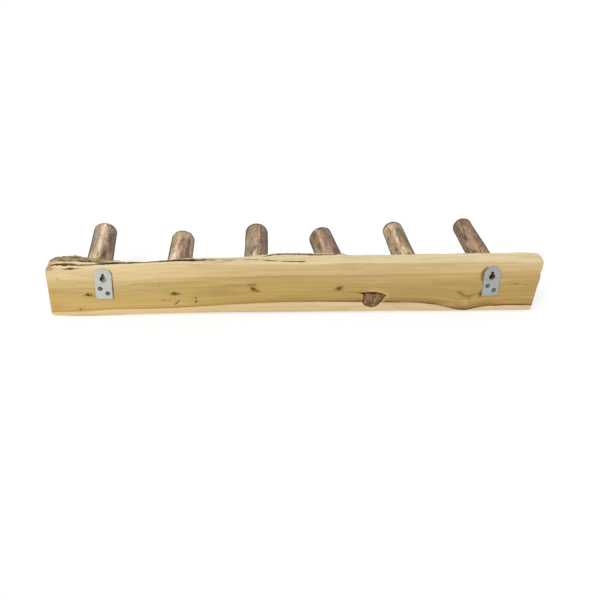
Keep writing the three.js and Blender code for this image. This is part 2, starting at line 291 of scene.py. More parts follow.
# Splits along the top surface: x, y, half width, depth.
SPLITS = [
    [(452, -13, 0.9, 0.8), (438, -14.2, 1.7, 2.2), (427, -14.4, 2.2, 4.0), (416, -14.4, 2.4, 4.6),
     (406, -14.0, 2.4, 4.6), (399, -12.6, 1.2, 2.6), (378, -12.2, 1.2, 3), (364, -13.4, 1.4, 3),
     (354, -14.8, 1.8, 2.8), (328, -17.4, 2.2, 2.8), (302, -18.4, 2.4, 2.6), (266, -18.4, 2.8, 2.8),
     (248, -17.6, 3.4, 3.0), (230, -17.4, 4.0, 3.0), (194, -15.4, 2.8, 2.6), (176, -16.8, 1.8, 2.2),
     (160, -18.5, 1.0, 1.4), (138, -22, 0.4, 0.4)],
    [(452, -23, 0.9, 0.8), (432, -21.4, 1.4, 1.3), (406, -20.9, 1.4, 1.2), (380, -21, 1.6, 1.8),
     (362, -21.2, 1.5, 2.0), (340, -25, 1.0, 1.4), (322, -30, 0.6, 0.8)],
    [(455, -4.6, 0.9, 1.1), (430, -4.7, 0.8, 0.9), (413, -5.6, 1.6, 1.8), (395, -5, 0.9, 1),
     (377, -3.8, 0.7, 0.7), (340, -3.4, 0.4, 0.3)],
    [(446, -16.4, 0.5, 0.5), (420, -16.4, 0.6, 0.6), (392, -15.4, 0.4, 0.4)],
    [(330, -6, 0.4, 0.4), (314, -5.2, 0.8, 0.8), (280, -6.4, 0.8, 0.8), (256, -7.4, 0.4, 0.4)],
    [(186, -6.4, 0.4, 0.5), (172, -5.6, 0.8, 1), (156, -5.4, 0.9, 1), (140, -6.4, 0.4, 0.4)],
    [(162, -10.4, 0.5, 0.8), (147, -9.4, 1.1, 1.5), (134, -12, 1.1, 1.4), (120, -16.6, 0.7, 1)],
    [(150, -20.8, 0.6, 0.8), (143, -20.5, 1.3, 1.8), (128, -20.2, 1.4, 1.9), (112, -19.6, 0.8, 1.3),
     (98, -18.4, 1.1, 1.3), (84, -16.8, 1.1, 1.3), (74, -15.2, 0.9, 1.3),
     (61, -12.6, 1.2, 1.8), (50, -10.8, 1.0, 1.5), (38, -9.6, 0.8, 1.1), (24, -8.6, 1.2, 2),
     (11, -8, 1.4, 2.2), (3, -8.4, 1.6, 2.6), (-4, -9.2, 1.3, 2.2), (-9, -9.8, 0.6, 0.8)],
    [(-16, -9.4, 0.5, 0.5), (-26, -10, 0.9, 0.9), (-48, -9.2, 0.4, 0.4)],
    [(222, -28.4, 0.7, 0.6), (190, -28.8, 1.4, 0.9), (150, -28.8, 1.5, 0.95), (104, -28.6, 0.9, 0.8)],
    [(72, -25, 0.8, 1), (53, -28.2, 1.3, 1.8), (29, -28.8, 1.4, 2), (2, -27.8, 1.5, 2.2),
     (-16, -27.2, 1.5, 2.2), (-35, -26.6, 1.5, 2.2), (-59, -28, 1.4, 2), (-74, -29.8, 1.1, 1.4),
     (-86, -30.8, 0.5, 0.5)],
]
bark_border = curve_through([  # x to the y where the bark starts on the top surface
    (456, -24.2), (432, -22.4), (406, -22), (380, -22.2), (362, -23), (340, -27.4), (322, -31.5),
    (310, -34),
])


def split_marks(x, y):
    """How dark with painted shade and how deep the splits are at points of the top surface."""
    dark, depth = np.zeros(x.shape), np.zeros(x.shape)
    for number, path in enumerate(SPLITS):
        xs, ys, widths, depths = np.array(sorted(path), float).T
        wander = 0.5 * value_noise(x / 5, 0.0, 40 + number)
        width = np.interp(x, xs, widths) * (1 + 0.35 * value_noise(x / 4, 0.0, 60 + number))
        inside = smoothstep(x, xs[0] - 2, xs[0] + 3) * (1 - smoothstep(x, xs[-1] - 3, xs[-1] + 2))
        gap = y - np.interp(x, xs, ys) - wander
        share = inside * bump(gap, width)
        # painted shadow of the longest split's step reaches dark over its far side well beyond its
        # lip
        reach = 1 + 1.6 * (number == 0) * (gap < 0) * smoothstep(-x, -375, -350)
        split_shadow = inside * bump(gap, width * reach)
        dark = np.maximum(dark, split_shadow * smoothstep(np.interp(x, xs, depths), 0.2, 2.2))
        depth = np.maximum(depth, share * np.interp(x, xs, depths))
    return dark, depth


def bark_share(x, y):
    hump = (x > 312) * smoothstep(bark_border(x) - y, -0.4, 0.8)
    ragged = 0.7 * fractal_noise(x / 9, y / 3, 5)
    strip = smoothstep(-y, 30.2 + ragged, 31.2) * smoothstep(x, -95, -80) * smoothstep(-x, -74, -58)
    return np.maximum(hump, strip)


def polygon_distance(x, z, outline):
    """Distance from points to a closed outline, negative inside it."""
    corners = np.array(outline, float)
    ends = np.roll(corners, -1, axis=0)
    best = np.full(x.shape, 1e9)
    inside = np.zeros(x.shape, bool)
    for (ax, az), (bx, bz) in zip(corners, ends):
        dx, dz = bx - ax, bz - az
        t = np.clip(((x - ax) * dx + (z - az) * dz) / (dx * dx + dz * dz), 0, 1)
        best = np.minimum(best, np.hypot(x - ax - t * dx, z - az - t * dz))
        if az != bz:
            crossing = ax + (z - az) * dx / dz
            inside ^= ((az > z) != (bz > z)) & (x < crossing)
    return np.where(inside, -best, best)


def rounded_outline(outline, count):
    """The outline as a smooth closed loop of evenly spaced points."""
    corners = np.array(outline, float)
    for _ in range(2):
        ahead = np.roll(corners, -1, axis=0)
        cut = [0.8 * corners + 0.2 * ahead, 0.2 * corners + 0.8 * ahead]
        corners = np.stack(cut, axis=1).reshape(-1, 2)
    closed = np.vstack([corners, corners[:1]])
    run = np.concatenate([[0], np.cumsum(np.hypot(*np.diff(closed, axis=0).T))])
    at = np.linspace(0, run[-1], count, endpoint=False)
    return np.stack([np.interp(at, run, closed[:, 0]), np.interp(at, run, closed[:, 1])], axis=1)


def uneven(outline, amount, spacing, seed, shift):
    """The outline with a small smooth wobble, every few points."""
    wobble = amount * value_noise(np.arange(len(outline)) / spacing, 0.0, seed)
    return outline + np.stack([wobble, np.roll(wobble, shift)], axis=1)


# ---- meshes ----
def skin(rows, columns):
    """Quads between rows of points that each close on themselves."""
    quads = []
    for row in range(rows - 1):
        start, above = row * columns, (row + 1) * columns
        for column in range(columns):
            after = (column + 1) % columns
            quads.append((start + column, start + after, above + after, above + column))
    return quads


def capped(rows, columns):
    """The skin with a flat face over its first and last rows."""
    last = (rows - 1) * columns
    ends = [tuple(reversed(range(columns))), tuple(range(last, last + columns))]
    return skin(rows, columns) + ends


def mesh_of(name, points, faces):
    """A mesh from points in millimetres, with its faces turned outwards."""
    mesh = bpy.data.meshes.new(name)
    mesh.from_pydata((np.asarray(points, float) * MM).tolist(), [], faces)
    edit = bmesh.new()
    edit.from_mesh(mesh)
    bmesh.ops.recalc_face_normals(edit, faces=edit.faces)
    edit.to_mesh(mesh)
    edit.free()
    return mesh


def stacked(name, rows):
    """A closed mesh from rows of points, with a face over its first and last rows."""
    return mesh_of(name, np.vstack(rows), capped(len(rows), len(rows[0])))


def joined(parts):
    """Several (points, faces) as one."""
    points, faces, start = [], [], 0
    for part_points, part_faces in parts:
        points.append(np.asarray(part_points, float))
        faces += [tuple(start + corner for corner in face) for face in part_faces]
        start += len(part_points)
    return np.vstack(points), faces


def at_depth(outline, y):
    """An (x, z) outline as points at one y or at a y for each point."""
    return np.stack([outline[:, 0], np.broadcast_to(y, len(outline)), outline[:, 1]], axis=1)


def loft(outline, levels):
    """A closed solid from an (x, z) outline at several levels of (y, growth outwards)."""
    outline = np.asarray(outline, float)
    ahead, behind = np.roll(outline, -1, axis=0), np.roll(outline, 1, axis=0)
    along = ahead - behind
    outwards = np.stack([along[:, 1], -along[:, 0]], axis=1)
    outwards /= np.linalg.norm(outwards, axis=1)[:, None]
    area = np.sum(outline[:, 0] * ahead[:, 1] - ahead[:, 0] * outline[:, 1])
    outwards *= np.sign(area)
    rows = [at_depth(outline + growth * outwards, y) for y, growth in levels]
    return np.vstack(rows), capped(len(levels), len(outline))


def oval(x, z, half_width, half_height, count=32, ragged=0.0, seed=0):
    angles = np.linspace(0, 2 * math.pi, count, endpoint=False)
    rough = 1 + ragged * fractal_noise(3 + 2 * np.cos(angles), 7 + 2 * np.sin(angles), seed)
    xs = x + half_width * rough * np.cos(angles)
    return np.stack([xs, z + half_height * rough * np.sin(angles)], axis=1)


def attribute(mesh, name, values, kind="FLOAT"):
    layer = mesh.attributes.new(name, kind, "POINT")
    field = {"FLOAT": "value", "FLOAT_VECTOR": "vector", "FLOAT_COLOR": "color"}[kind]
    layer.data.foreach_set(field, np.ascontiguousarray(values, np.float32).ravel())


def points_of(mesh):
    """The mesh's points in millimetres, as x, y and z."""
    flat = np.empty(3 * len(mesh.vertices))
    mesh.vertices.foreach_get("co", flat)
    return flat.reshape(-1, 3).T / MM


def new_object(name, data):
    """A new object of the scene."""
    made = bpy.data.objects.new(name, data)
    bpy.context.scene.collection.objects.link(made)
    return made


def show(mesh, finish, stands_for, sharp_degrees=40):
    """Puts a mesh in the scene as a piece that stands for CAD nodes."""
    if not mesh.materials:
        mesh.materials.append(finish)
    mesh.shade_smooth()
    mesh.set_sharp_from_angle(angle=math.radians(sharp_degrees))
    piece = new_object(mesh.name, mesh)
    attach(piece, "root")
    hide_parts(*stands_for)
    return piece


def cut(mesh, cutter):
    """The mesh with the cutter's volume taken away."""
    body, tool = new_object("body_to_cut", mesh), new_object("cutter", cutter)
    boolean = body.modifiers.new("cut", "BOOLEAN")
    boolean.operation = "DIFFERENCE"
    boolean.solver = "EXACT"
    boolean.object = tool
    bpy.context.view_layer.update()
    evaluated = body.evaluated_get(bpy.context.evaluated_depsgraph_get())
    result = bpy.data.meshes.new_from_object(evaluated)
    result.name = mesh.name + "_cut"
    for thing in (body, tool):
        bpy.data.objects.remove(thing)
    return result


# ---- material nodes ----
def colour(red, green, blue):
    """A display colour from 0 to 255 as scene-linear RGBA."""
    def linear(value):
        value /= 255
        return value / 12.92 if value <= 0.04045 else ((value + 0.055) / 1.055) ** 2.4

    return (linear(red), linear(green), linear(blue), 1)


class Finish:
    """A principled material and short ways to add nodes to it."""

    def __init__(self, name):
        self.material = bpy.data.materials.new(name)
        self.material.use_nodes = True
        self.tree = self.material.node_tree
        self.shader = self.tree.nodes["Principled BSDF"]

    def node(self, kind, inputs=(), **settings):
        made = self.tree.nodes.new("ShaderNode" + kind)
        for name, value in settings.items():
            setattr(made, name, value)
        for socket, value in dict(inputs).items():
            self.plug(made.inputs[socket], value)
        return made

    def plug(self, socket, value):
        if isinstance(value, bpy.types.NodeSocket):
            self.tree.links.new(value, socket)
        else:
            socket.default_value = value

    def finished(self, shade, roughness, normal=None, specular=None, metallic=None):
        """The finished material, from its colour, roughness and surface."""
        given = {"Base Color": shade, "Roughness": roughness, "Normal": normal,
                 "Specular IOR Level": specular, "Metallic": metallic}
        for name, value in given.items():
            if value is not None:
                self.plug(self.shader.inputs[name], value)
        return self.material

    def scalar(self, name):
        return self.node("Attribute", attribute_name=name).outputs["Fac"]

    def vector(self, name):
        return self.node("Attribute", attribute_name=name).outputs["Vector"]

    def tint(self, name):
        return self.node("Attribute", attribute_name=name).outputs["Color"]

    def position(self):
        return self.node("TexCoord").outputs["Object"]

    def parts(self, vector):
        return self.node("SeparateXYZ", {0: vector}).outputs

    def stretched(self, vector, scale):
        return self.node("Mapping", {"Vector": vector, "Scale": scale}).outputs["Vector"]

    def noise(self, vector, scale=(1, 1, 1), detail=3.0, roughness=0.55, distortion=0.0):
        inputs = {
            "Vector": self.stretched(vector, scale), "Scale": 1.0, "Detail": detail,
            "Roughness": roughness, "Distortion": distortion,
        }
        return self.node("TexNoise", inputs).outputs["Fac"]

    def math(self, operation, a, b=0.0):
        return self.node("Math", {0: a, 1: b}, operation=operation).outputs["Value"]

    def times(self, a, b):
        return self.math("MULTIPLY", a, b)

    def between(self, value, low, high, start=0.0, end=1.0):
        """The value eased from low..high to start..end."""
        inputs = {
            "Value": value, "From Min": low, "From Max": high, "To Min": start, "To Max": end,
        }
        return self.node("MapRange", inputs, interpolation_type="SMOOTHSTEP").outputs["Result"]

    def mix(self, share, a, b, blend="MIX"):
        made = self.node("Mix", data_type="RGBA", blend_type=blend)
        for socket, value in zip((0, 6, 7), (share, a, b)):
            self.plug(made.inputs[socket], value)
        return made.outputs[2]

    def ramp(self, value, stops):
        """Colours along a value, from (place, display colour) stops."""
        made = self.node("ValToRGB", {"Fac": value})
        elements = made.color_ramp.elements
        while len(elements) < len(stops):
            elements.new(0.5)
        for element, (place, _) in zip(elements, stops):
            element.position = place
        for element, (_, shade) in zip(elements, stops):
            element.color = colour(*shade)
        return made.outputs["Color"]

    def scaled(self, tone, amount):
        """A colour made lighter or darker by a factor."""
        grey = self.node("CombineColor", {0: amount, 1: amount, 2: amount}).outputs["Color"]
        return self.mix(1.0, tone, grey, "MULTIPLY")

    def mottled(self, tone, pattern, low, high, start, end):
        """A colour made lighter or darker along a pattern."""
        return self.scaled(tone, self.between(pattern, low, high, start, end))

    def tinged(self, tone, pattern, low, high, most, other):
        """A colour with another mixed in where a pattern is high."""
        return self.mix(self.between(pattern, low, high, 0, most), tone, colour(*other))

    def covered(self, tone, *layers):
        """A colour with others over it, each where a named mask says, from (mask, colour)."""
        for mask, other in layers:
            tone = self.mix(self.scalar(mask), tone, colour(*other))
        return tone

    def bumpy(self, height, distance, strength=1.0, under=None):
        inputs = {"Height": height, "Distance": distance, "Strength": strength}
        if under is not None:
            inputs["Normal"] = under
        return self.node("Bump", inputs).outputs["Normal"]


# ---- the board's wood ----
RINGS = 4.0  # the ring coordinate: 0 top edge, 1 upper growth line, 3 lower growth line, 4 bottom


# Colours across the board from its top edge to its bottom edge: sapwood, its lower part, the upper
# growth line, three of heartwood, the shadow over the lower growth line, the line itself, the
# sapwood below it and the bottom edge. At the wide end, in the middle and at the narrow end.
GROWTH_COLOURS = [
    [(230, 205, 156), (223, 197, 142), (204, 176, 116), (208, 180, 120), (196, 166, 98),
     (202, 169, 102), (200, 166, 96), (191, 147, 84), (228, 200, 148), (218, 190, 140)],
    [(211, 185, 132), (205, 176, 119), (180, 150, 91), (190, 160, 100), (187, 156, 89),
     (189, 157, 86), (177, 144, 74), (158, 124, 62), (218, 191, 142), (210, 182, 134)],
    [(208, 184, 136), (204, 178, 124), (191, 161, 103), (192, 163, 104), (179, 149, 86),
     (180, 148, 84), (146, 110, 51), (104, 70, 26), (219, 192, 149), (212, 187, 146)],
]


def growth_ramp(made, ring, sap, sap_low, line, heart_top, heart, heart_low, shadow, dark, strip,
                edge):
    stops = [
        (0.0, sap), (0.92, sap_low), (0.992, line), (1.025, line), (1.10, heart_top), (2.0, heart),
        (2.58, heart_low), (2.86, shadow), (2.945, dark), (2.995, dark), (3.015, strip),
        (3.12, strip), (4.0, edge),
    ]
    return made.ramp(ring, [(place / RINGS, shade) for place, shade in stops])


def board_finish(name, end_grain=False):
    made = Finish(name)
    fibre, place = made.vector("fibre"), made.position()
    x, _, _ = made.parts(fibre)
    drift = made.math("MULTIPLY_ADD", made.noise(fibre, (9, 60, 30), 3), 0.08)
    drift.node.inputs[2].default_value = -0.04
    ring = made.math("DIVIDE", made.math("ADD", made.scalar("ring"), drift), RINGS)
    wide, middle, narrow = (growth_ramp(made, ring, *shades) for shades in GROWTH_COLOURS)
    shade = made.mix(made.between(x, 0.04, 0.36), middle, wide)
    shade = made.mix(made.between(x, 0.07, -0.13), shade, narrow)
    shade = made.covered(shade, ("band", (216, 187, 131)), ("second", (176, 142, 82)))
    # stains on the back face, with painted shadow beside the plates
    ragged = made.between(made.noise(place, (300, 300, 700), 4, 0.65), 0.3, 0.6, 0.6, 1.2)
    soaked = made.times(made.scalar("stain_and_shadow_share"), ragged)
    shade = made.mix(made.between(soaked, 0, 1), shade, made.tint("stain_and_shadow_tone"))

    # broad streaks, fine fibres, short pores and soft clouds, all along the growth lines
    streaks = made.noise(fibre, (5, 420, 160), 5, 0.62, 0.15)
    fibres = made.noise(fibre, (30, 2600, 900), 4, 0.65)
    pores = made.noise(fibre, (110, 4200, 1400), 2, 0.5)
    clouds = made.noise(fibre, (9, 44, 26), 4, 0.55, 0.3)
    warm = made.noise(fibre, (13, 66, 36), 4, 0.55, 0.4)
    cream = made.noise(fibre, (12, 90, 30), 4, 0.6, 0.3)
    shade = made.mottled(shade, streaks, 0.25, 0.75, 0.87, 1.10)
    shade = made.mottled(shade, fibres, 0.3, 0.7, 0.94, 1.05)
    shade = made.tinged(shade, pores, 0.64, 0.76, 0.32, (146, 106, 54))
    shade = made.tinged(shade, clouds, 0.48, 0.72, 0.40, (174, 150, 84))
    shade = made.tinged(shade, warm, 0.55, 0.75, 0.34, (210, 160, 106))
    shade = made.tinged(shade, cream, 0.56, 0.74, 0.26, (226, 202, 150))
    if end_grain:
        around = made.node("TexWave", {
            "Vector": place, "Scale": 95.0, "Distortion": 5.0, "Detail": 2.0,
            "Detail Scale": 1.2,
        }, wave_type="RINGS", rings_direction="X").outputs["Fac"]
        shade = made.mottled(shade, around, 0.1, 0.9, 0.72, 0.98)

    # the top edge is paler and greyer, partly weathered and partly a painted highlight of its lit
    # face, with brown flecks along the grain
    bleached = made.between(made.noise(place, (16, 300, 300), 4, 0.6), 0.3, 0.7, 0.2, 0.75)
    flecks = made.between(made.noise(place, (60, 900, 900), 4, 0.65), 0.60, 0.72, 0, 0.45)
    for share, tone in ((bleached, (230, 212, 174)), (flecks, (150, 122, 80))):
        shade = made.mix(made.times(made.scalar("top"), share), shade, colour(*tone))

    # what shows only in places: a painted highlight on the knot hole's lit rim, splinters, bark,
    # painted shade in the splits, holes and pockets, and a painted pool of light in one pocket
    # painted highlight along the lit -X rim of the knot's hole
    pale = made.times(made.scalar("pale"), 0.55)
    shade = made.mix(pale, shade, colour(228, 200, 146))
    torn_wood = made.ramp(made.noise(place, (300, 160, 900), 4, 0.7), [
        (0.30, (112, 86, 54)), (0.44, (184, 150, 108)), (0.7, (232, 208, 168)),
    ])
    shade = made.mix(made.scalar("torn"), shade, torn_wood)
    scaly = made.noise(place, (60, 420, 420), 5, 0.7, 0.3)
    bark = made.ramp(scaly, [
        (0.30, (58, 42, 24)), (0.44, (124, 102, 68)), (0.56, (176, 154, 114)),
        (0.72, (206, 186, 148)),
    ])
    shade = made.mix(made.scalar("bark"), shade, bark)
    # painted shade in the splits along the top, lighter at their lips and dark within
    soft = made.between(made.noise(fibre, (60, 700, 300), 3), 0.15, 0.6, 0.75, 1.0)
    painted_split_shade = made.times(made.scalar("painted_split_shade"), soft)
    shade = made.tinged(shade, painted_split_shade, 0.08, 0.45, 1, (112, 86, 50))
    shade = made.tinged(shade, painted_split_shade, 0.45, 0.85, 1, (50, 34, 16))
    # painted shade in holes, gaps and pockets, painted shadow on the pockets' +X sides and a painted
    # pool of light in plate 1's pocket
    shade = made.covered(shade, ("painted_recess_shade", (74, 50, 24)), ("painted_pocket_shadow", (26, 17, 8)),
                         ("painted_pocket_light", (252, 240, 214)))

    normal = made.bumpy(fibres, 0.00006, 0.5)
    normal = made.bumpy(streaks, 0.00012, 0.5, normal)
    rough = made.times(made.math("ADD", made.scalar("bark"), made.scalar("torn")), scaly)
    normal = made.bumpy(rough, 0.0016, 0.9, normal)
    return made.finished(shade, made.between(streaks, 0.2, 0.8, 0.72, 0.58), normal, specular=0.3)


# Painted shadow beside each hanger plate: colour, strength, then x, z and half width from the plate's
# seat.
PLATE_SHADOWS = [
    [((78, 62, 34), 0.85, [(-11.6, 6.6, 0.8), (-15, 0, 1.4), (-15.8, -20, 1.5), (-15.8, -50, 1.3)]),
     ((120, 100, 62), 0.5, [(15.4, -6, 0.6), (15.4, -50, 0.5)])],
    [((116, 84, 44), 0.95, [(12, 7, 2.4), (17.4, -2, 4.0), (18, -14, 3.2), (16.8, -22, 1.6)]),
     ((120, 86, 46), 0.8, [(17.4, -40, 1.4), (18.6, -47, 2.8), (17.6, -54, 2.0)]),
     ((56, 46, 34), 0.85, [(15.9, -38, 0.7), (16.2, -45, 1.4), (15.8, -50, 1.4)]),
     ((70, 60, 46), 0.7, [(-15.6, -14, 0.6), (-16, -22, 1.7), (-15.6, -28, 0.7)])],
]


# ---- the board ----
def board_stations():
    """Places along the board where its section is drawn, closer at the worn corner."""
    corner_end = NARROW_END + 6
    plain = np.linspace(corner_end, WIDE_END - END_EASING, 396)
    corner = np.linspace(NARROW_END + END_EASING, corner_end, 9)[:-1]
    return np.concatenate([corner, plain])


def worn_drop(x, radius):
    """How far the top edge has rounded down near the narrow end."""
    reach = np.clip(1 - (x - NARROW_END) / radius, 0, 1)
    return radius * (1 - np.sqrt(1 - reach**2 * 0.98))


def board_grid():
    """The board's outer surface: closed sections in rows along X."""
    x = board_stations()[:, None]
    top_back = back_top(x) - worn_drop(x, WORN_CORNER) + 0.3 * value_noise(x / 14, 0.0, 1)
    top_front = front_top(x) - worn_drop(x, WORN_FRONT_CORNER) + 0.45 * value_noise(x / 11, 0.0, 2)
    low = bottom_edge(x) + 0.2 * value_noise(x / 30, 0.0, 3)
    r_back = np.interp(x, [-330, -200, 60, 300], [4.6, 3.4, 1.6, 1.0])
    r_low, r_front, r_top = 1.1, 4.0, 2.8

    def arc(y, z, radius, start):
        turn = np.radians(start - 90 * np.linspace(0, 1, 6)[None, 1:-1])
        return y + radius * np.cos(turn), z + radius * np.sin(turn), np.cos(turn), np.sin(turn)

    def straight(y0, z0, y1, z1, count, normal):
        t = np.linspace(0, 1, count)[None, :] + 0 * x
        flat = np.ones_like(t)
        return y0 + (y1 - y0) * t, z0 + (z1 - z0) * t, normal[0] * flat, normal[1] * flat

    sides = [
        straight(BACK, top_back - r_back, BACK, low + r_low, 90, (1, 0)),
        arc(BACK - r_low, low + r_low, r_low, 0),
        straight(BACK - r_low, low, FRONT + r_front, low, 9, (0, -1)),
        arc(FRONT + r_front, low + r_front, r_front, -90),
        straight(FRONT, low + r_front, FRONT, top_front - r_top, 26, (-1, 0)),
        arc(FRONT + r_top, top_front - r_top, r_top, 180),
        straight(FRONT + r_top, top_front, BACK - r_back, top_back, 40, (0, 1)),
        arc(BACK - r_back, top_back - r_back, r_back, 90),
    ]
    y, z, ny, nz = (
        np.hstack([np.broadcast_to(side[k], (len(x), side[k].shape[1])) for side in sides])
        for k in range(4)
    )
    x = np.broadcast_to(x, y.shape)

    _, depth = split_marks(x, y)
    upward = smoothstep(nz, 0.3, 0.9)
    bark = bark_share(x, y)
    lift = upward * (0.5 * fractal_noise(x / 16, y / 4, 11) - depth)
    lift = lift + upward * bark * (0.9 + 1.1 * fractal_noise(x / 7, y / 3, 12))
    ease = smoothstep(np.minimum(x - NARROW_END, WIDE_END - x), 0, 12)
    forward = smoothstep(-ny, 0.5, 0.95)
    lift = lift + forward * 0.25 * fractal_noise(x / 60, z / 12, 13)
    lift = lift + smoothstep(-nz, 0.3, 0.9) * 0.15 * fractal_noise(x / 25, y / 9, 14)
    y = y + lift * ny * ease
    z = z + lift * nz * ease

    near_narrow = np.clip(1 - (x - NARROW_END) / 70, 0, 1) ** 2
    near_wide = np.clip(1 - (WIDE_END - x) / 30, 0, 1) ** 2
    torn = smoothstep(z, 1, 6)
    ragged = 1.6 * np.abs(fractal_noise(y / 3.5, z / 2.2, 21)) + 0.10 * (z - 1) + 0.05 * (BACK - y)
    across = np.clip((BACK - y) / THICKNESS, 0, 1)
    near_tip = np.clip(1 - (x - NARROW_END) / 12, 0, 1)
    x = x - near_tip * 10 * across * (1 - across)
    x = x + near_narrow * (narrow_end(z) - NARROW_END) - near_wide * torn * ragged
    return np.stack([x, y, z], axis=2)


def with_eased_ends(grid):
    """Adds a slightly smaller section past each end, so that the end's edges are eased, and closes
    the end with shrinking sections."""
    rows = [grid]
    for end, outwards in ((0, -1), (-1, 1)):
        ring = grid[end].copy()
        middle = ring.mean(axis=0)
        arm = ring[:, 1:] - middle[1:]
        reach = np.linalg.norm(arm, axis=1)[:, None]
        ring[:, 1:] = middle[1:] + arm * (1 - END_EASING / reach)
        ring[:, 0] += outwards * END_EASING
        middle[0] += outwards * END_EASING
        for share in (1, 0.9, 0.75, 0.6, 0.45, 0.3, 0.15, 0.04):
            smaller = middle + (ring - middle) * share
            rows.insert(0 if end == 0 else len(rows), smaller[None])
    return np.vstack(rows)


def turned(x, z, profile, count=20):
    """A solid turned around a line along Y. The profile lists (y, radius)."""
    return loft(oval(x, z, 1, 1, count), [(y, radius - 1) for y, radius in profile])


def plug_place(number):
    low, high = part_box(f"screw_plug_{number}")
    return (low.x + high.x) / 2 / MM, (low.z + high.z) / 2 / MM


def mark_outline(number):
    """The ragged edge of the filler over a peg's screw."""
    outline = rounded_outline(MARKS[number - 1], MARK_POINTS) + plug_place(number)
    return uneven(outline, 0.22, 2, 70 + number, 17)


def in_hanger(hanger, x, z):
    """A point of a hanger plate, given from its keyhole's seat, in the rail's frame."""
    lean = math.radians(hanger["lean"])
    sine, cosine = math.sin(lean), math.cos(lean)
    return hanger["x"] + x * cosine + z * sine, z * cosine - x * sine


def keyhole_pocket(hanger):
    """The room behind a keyhole: an upright slot with round ends."""
    outline = []
    for middle, start in ((-2.8, 0), (-ENTRY_DROP, 180)):
        for angle in np.radians(start + np.linspace(0, 180, 12)):
            outline.append((POCKET_RADIUS * math.cos(angle),
                            middle + POCKET_RADIUS * math.sin(angle)))
    placed = [in_hanger(hanger, x, z) for x, z in outline]
    floor = BACK - POCKET_DEPTH
    return loft(placed, [(BACK + 3, 0), (floor + 0.4, 0), (floor, -0.4)])


def openings():
    """Everything that is cut into the back of the board, as two sets that don't touch."""
    knot = uneven(rounded_outline(KNOT_OUTLINE, HOLE_POINTS), 0.35, 3, 31, 37)
    wide = [loft(knot, [(3, 0.6), (BACK - 0.5, 0), (BACK - 3, -0.5), (BACK - KNOT_DEPTH, -1.6)])]
    wide += [keyhole_pocket(hanger) for hanger in HANGERS]
    for x, z, radius in WORM_HOLES:
        hole = oval(x, z, radius * 1.2, radius, 10, 0.35, int(1000 + x))
        wide.append(loft(hole, [(3, 0.1), (BACK - 0.4, 0), (BACK - 4, -0.35 * radius)]))
    narrow = []
    for number in range(1, len(PEGS) + 1):
        x, z = plug_place(number)
        wide.append(loft(mark_outline(number), [(3, 0.2), (BACK - 0.3, 0), (BACK - 7, -0.2)]))
        seat = BACK - PEG_SCREW_SUNK - CLEARANCE
        around, bore = PEG_SCREW_HEAD + 0.2, PEG_SCREW_SHANK + CLEARANCE
        narrow.append(turned(x, z, [(BACK - 6, around), (seat, around),
                                    (seat - PEG_SCREW_CONE, bore), (FRONT - 3, bore)]))
    for hanger in HANGERS:
        for x, z in PLATE_SCREWS.values():
            bore, end = SCREW_SHANK + CLEARANCE, -SCREW_LENGTH - CLEARANCE
            profile = [(3, SCREW_HEAD + CLEARANCE), (BACK - 0.6, 2.3), (BACK - 1, bore), (end, bore)]
            narrow.append(turned(*in_hanger(hanger, x, z), profile))
    return wide, narrow


